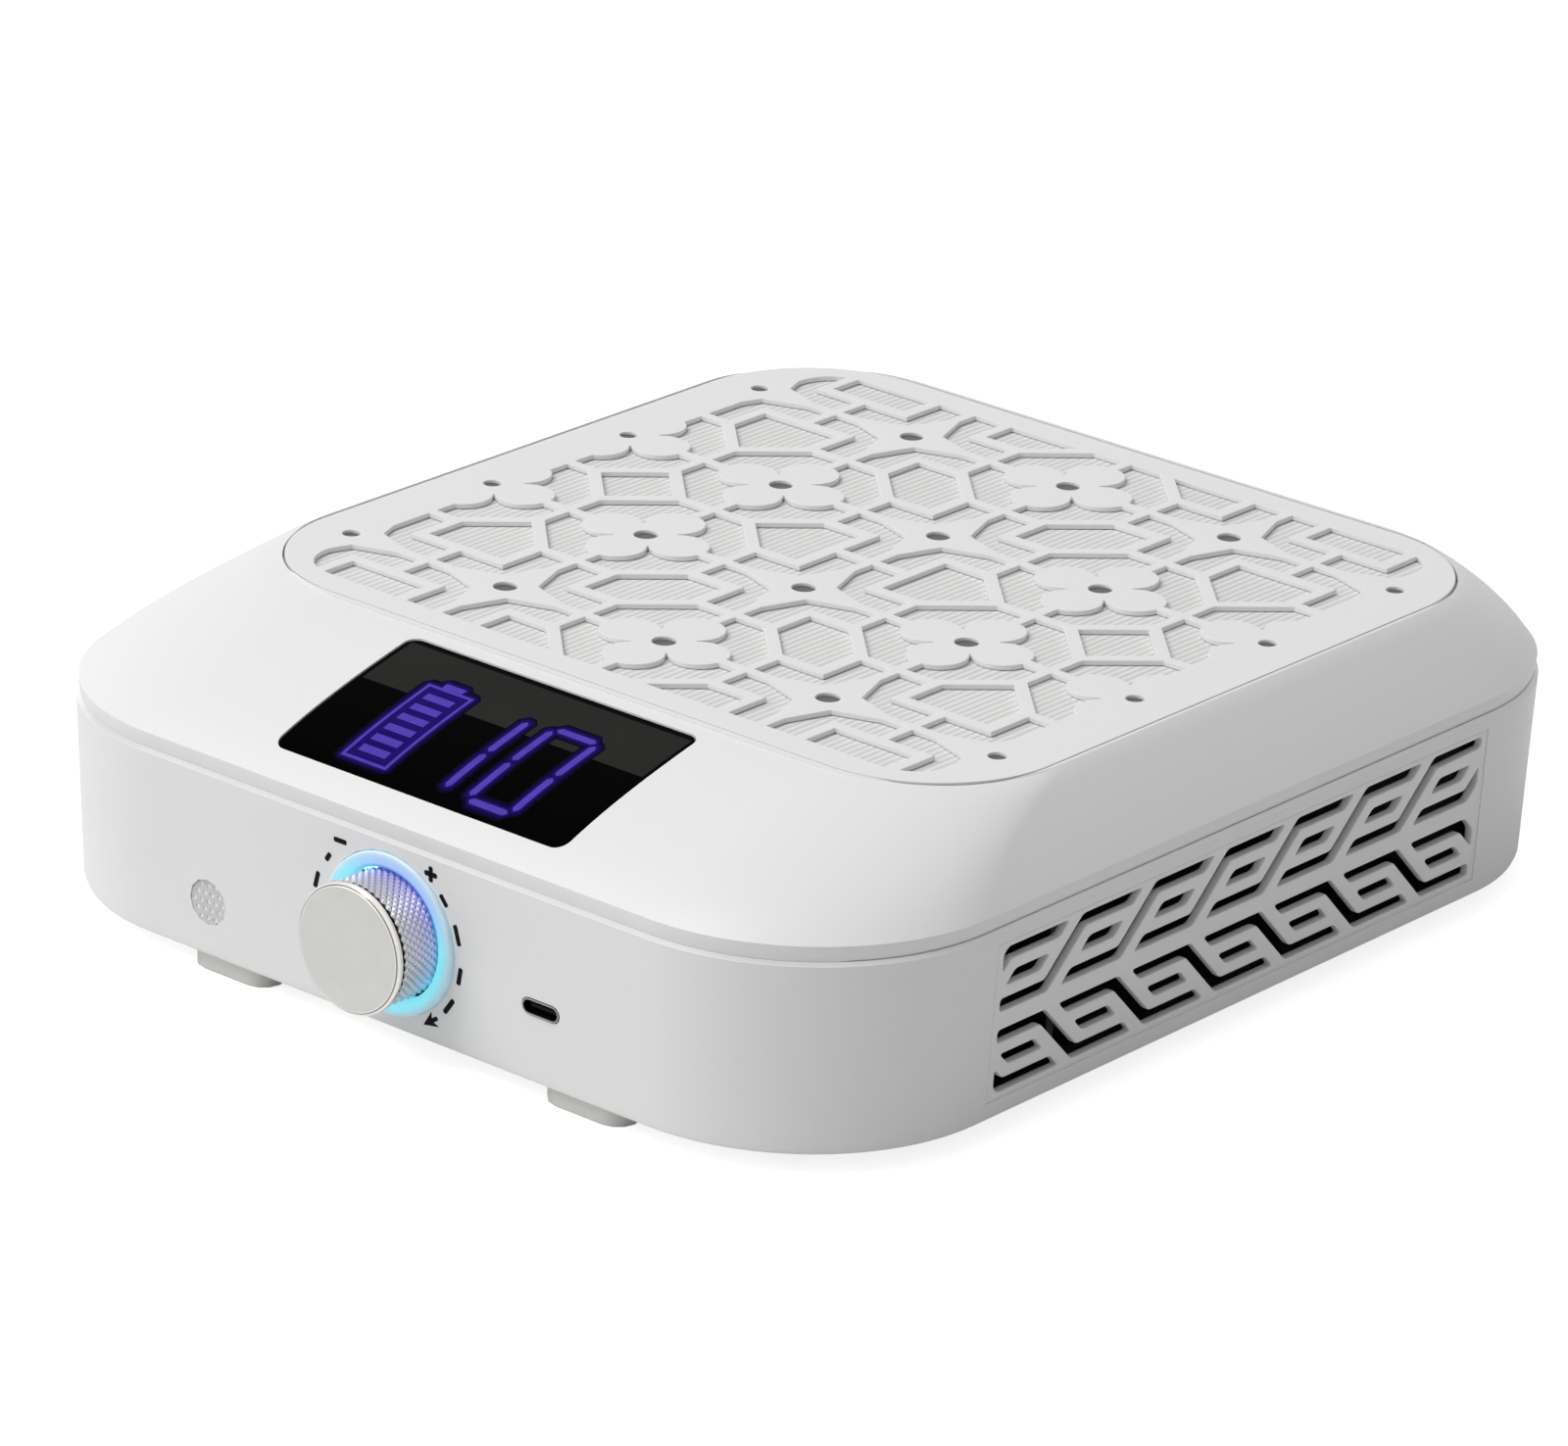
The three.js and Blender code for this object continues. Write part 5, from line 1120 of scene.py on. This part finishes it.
def spun(name, profile, steps=96):
    """A closed profile of radius and height in front of the front wall, in millimetres."""
    outline_through([(radius, FRONT_Y - height, KNOB_Z) for radius, height in profile])
    bpy.ops.mesh.spin(steps=steps, angle=2 * math.pi, center=(0, 0, KNOB_Z * MM), axis=(0, 1, 0))
    weld(2 * WELD)
    bpy.ops.mesh.dissolve_degenerate(threshold=2 * WELD)
    return named(close_up(), name)


ring = spun("light_guide_ring", [
    (12.9, -3.4), (14.1, -3.4), (14.1, -1.3), (15.7, -1.3), (15.7, 0.0), (15.62, 0.22), (15.45, 0.4),
    (15.2, 0.5), (14.3, 0.5), (13.5, 0.42), (13.0, 0.3), (12.74, 0.15), (12.7, 0.0), (12.7, -0.6),
    (12.9, -0.9),
])
smooth(ring, 40.0)
stand_for(ring, "housing", light_guide, "diffuser", "light_ring")

cap = spun("knob_face", [
    (0.0, 7.9), (10.35, 7.9), (10.35, 8.45), (11.75, 8.45), (11.75, 9.15), (12.4, 9.15), (12.62, 9.2),
    (12.7, 9.35), (12.7, 9.8), (12.64, 9.95), (12.05, 10.42), (11.9, 10.49), (11.7, 10.5),
    (11.5, 10.47), (0.0, 10.44),
])
smooth(cap, 25.0)
stand_for(cap, "knob", turned_face, "knob_metal", "knob_cap")

# %% [markdown]
# The grip has a diamond knurl. A drum of small squares is extruded row by row, and every
# second corner, as on a chessboard, is drawn in towards the axis. That leaves rows of
# little four-sided points. The hollows and the hub are cut and joined on as discs.

# %% Knurled grip
KNURL_COLUMNS, KNURL_ROWS = 96, 11
GRIP_RADIUS, KNURL_DEPTH, GRIP_WALL = 12.4, 0.42, 1.75
GRIP_BACK, GRIP_FRONT = -1.0, 8.3
WEB_BACK, WEB_FRONT, HUB_FRONT = 6.2, 7.6, 6.5
HUB_RADIUS, BORE_RADIUS = 5.4, 3.15


def knurled_grip():
    row_height = (GRIP_FRONT - GRIP_BACK) / KNURL_ROWS
    start = FRONT_Y - GRIP_BACK
    axis = (0, KNOB_Z)
    grip = disc("knurled_grip", axis, GRIP_RADIUS, start - row_height, start, "Y", KNURL_COLUMNS)
    edit(grip)
    for count in range(1, KNURL_ROWS):
        level_y = (start - row_height * count) * MM
        choose(grip.data, lambda co: abs(co.y - level_y) < NEAR)
        extrude(0, -row_height * MM, 0)

    def drawn_in(co):
        up = co.z - KNOB_Z * MM
        column = round(math.atan2(up, co.x) / (2 * math.pi) * KNURL_COLUMNS)
        row = round((start * MM - co.y) / (row_height * MM))
        return math.hypot(co.x, up) > 0.9 * GRIP_RADIUS * MM and (column + row) % 2 == 1

    choose(grip.data, drawn_in)
    growth = (GRIP_RADIUS - KNURL_DEPTH) / GRIP_RADIUS
    bpy.ops.transform.resize(value=(growth, 1, growth), center_override=(0, 0, KNOB_Z * MM))
    select_mesh()
    bpy.ops.mesh.quads_convert_to_tris(quad_method="SHORTEST_DIAGONAL")
    leave()
    inner = GRIP_RADIUS - GRIP_WALL
    rear = start + OVERRUN
    combine(grip, disc("rear_hollow", axis, inner, FRONT_Y - WEB_BACK, rear, "Y"))
    front = FRONT_Y - GRIP_FRONT - OVERRUN
    combine(grip, disc("front_hollow", axis, inner, front, FRONT_Y - WEB_FRONT, "Y"))
    combine(grip, disc("hub", axis, HUB_RADIUS, FRONT_Y - HUB_FRONT, start, "Y"), "UNION")
    return combine(grip, disc("bore", axis, BORE_RADIUS, FRONT_Y - HUB_FRONT, rear, "Y", 32))


stand_for(knurled_grip(), "knob", knurled_metal, "knob_metal", "knob_grip")

# %% [markdown]
# The sounder speaks through a small grey disc in a shallow recess. Its nineteen holes lie
# on two hexagons round the middle one.

# %% Sounder disc
PORT_X, PORT_Z, PORT_RADIUS, PORT_THICKNESS = -46.3, 15.2, 4.4, 1.2
PORT_HOLE, PORT_HOLE_DEPTH, PORT_PITCH = 0.5, 0.22, 1.8


def sounder_disc():
    front = FRONT_Y + PORT_DEPTH
    middle = Vector((PORT_X, PORT_Z))
    plate = disc("sounder_disc", middle, PORT_RADIUS, front, front + PORT_THICKNESS, "Y", 48)
    spots = [middle]
    for size in (1, 2):
        corners = [
            Matrix.Rotation(math.radians(60 * side), 2) @ Vector((PORT_PITCH * size, 0))
            for side in range(7)]
        for start, end in zip(corners, corners[1:]):
            spots += [middle + start.lerp(end, part / size) for part in range(size)]
    holes = discs(
        "holes", [(spot, PORT_HOLE) for spot in spots], front - OVERRUN, front + PORT_HOLE_DEPTH, "Y", 12)
    return smooth(combine(plate, holes), 30.0)


stand_for(sounder_disc(), "housing", port_grey, "port_mesh", "sounder_port")

# %% [markdown]
# The printed scale round the ring is a minus, a plus, dashes and an arrow. They are ink, so
# each is a very thin plate on the front wall, which leans a little.

# %% Printed scale
INK, MARK_WIDTH, MARK_CORNER = 0.05, 1.0, 0.35
ARROW_TURN = 214


def stood_up(x, up, angle):
    """Thickens the flat mark in hand and stands it on the wall, at a place from the knob's axis."""
    z = KNOB_Z + up
    select_mesh()
    extrude(0, 0, 2 * INK * MM)
    mark = close_up()
    mark.matrix_world = (
        Matrix.Translation(Vector((x, FRONT_Y + set_in(z) + INK, z)) * MM)
        @ Matrix.Rotation(math.pi / 2 + WALL_LEAN, 4, "X")
        @ Matrix.Rotation(math.radians(angle), 4, "Z"))
    return settle(mark)


def dash(x, up, length, angle=None, thick=MARK_WIDTH):
    """A rounded dash. Without an angle it runs round the knob."""
    deselect()
    bpy.ops.mesh.primitive_plane_add(size=1, enter_editmode=True)
    bpy.ops.transform.resize(value=(length * MM, thick * MM, 1), center_override=(0, 0, 0))
    bpy.ops.mesh.bevel(offset=MARK_CORNER * thick * MM, segments=3, affect="VERTICES")
    return stood_up(x, up, math.degrees(math.atan2(up, x)) + 90 if angle is None else angle)


def arrow_head(x, up, size, angle):
    """A barbed head, with two barbs, a notch and a tip."""
    corners = (-0.95, 0.95), (-0.3, 0.0), (-0.95, -0.95), (1.2, 0.0)
    outline_through([Vector((*corner, 0)) * size for corner in corners], "NGON")
    return stood_up(x, up, angle)


marks = [dash(-12.1, 14.6, 3.2, 0), dash(10.3, 14.7, 3.1, 0), dash(10.3, 14.7, 3.1, 90)]
for x, up, length in ((-15.2, 10.5, 2.0), (-18.2, 5.1, 3.5), (13.4, 10.4, 2.6),
                      (16.6, 4.5, 4.1), (17.1, -3.5, 3.6), (14.4, -10.3, 4.0)):
    marks.append(dash(x, up, length))
marks += [arrow_head(9.7, -14.8, 1.65, ARROW_TURN), dash(10.75, -14.1, 1.9, ARROW_TURN - 180, 0.85)]
stand_for(join(marks, "printed_scale"), "housing", black_ink, "white_shell")

# %% [markdown]
# The stage is a pale floor under an even sky, with a large lamp above at the left and a
# fainter one in front. The floor glows for the camera, so it reads as white paper.

# %% Floor and lights
def stage_floor():
    bpy.ops.mesh.primitive_plane_add(size=8, location=(0, 0, 0))
    floor = settle(bpy.context.active_object, "floor")
    finish = Finish("floor_paper", Roughness=0.9, Emission_Strength=1.0, Specular_IOR_Level=0.1)
    camera_ray, glossy_ray = finish.rays("Camera", "Glossy")
    seen = camera_ray.most(glossy_ray * 0.3)
    glow = finish.blend(seen, (0.0, 0.0, 0.0), (0.78, 0.78, 0.78))
    floor.data.materials.append(finish.done(Base_Color=(0.72, 0.72, 0.72), Emission_Color=glow))


def sky(fill):
    """An even light. The camera and mirrors see plain white instead."""
    world = bpy.data.worlds.new("studio")
    scene.world = world
    world.use_nodes = True
    world.node_tree.nodes.clear()
    network = Network(world.node_tree)
    camera_ray, glossy_ray, through_ray = network.rays("Camera", "Glossy", "Transmission")
    lights = [
        network.value("ShaderNodeBackground", 0, dict(Color=(1, 1, 1), Strength=strength))
        for strength in (fill, 1.0)]
    seen = camera_ray.most(glossy_ray).most(through_ray)
    mix = network.value("ShaderNodeMixShader", 0, {0: seen, 1: lights[0], 2: lights[1]})
    network.node("ShaderNodeOutputWorld", dict(Surface=mix))


def softbox(name, towards, distance, size, power):
    """A square lamp that looks at the object from a direction."""
    direction = Vector(towards).normalized()
    bpy.ops.object.light_add(type="AREA", location=direction * distance)
    box = bpy.context.active_object
    box.name = name
    box.data.size, box.data.energy = size, power
    box.rotation_euler = (-direction).to_track_quat("-Z", "Y").to_euler()


stage_floor()
sky(fill=0.39)
softbox("top_light", (-0.35, -0.40, 0.85), distance=3.0, size=2.1, power=60.6)
softbox("front_light", (-0.50, -0.85, 0.15), distance=3.0, size=1.8, power=15.0)
scene.view_settings.view_transform = "Standard"
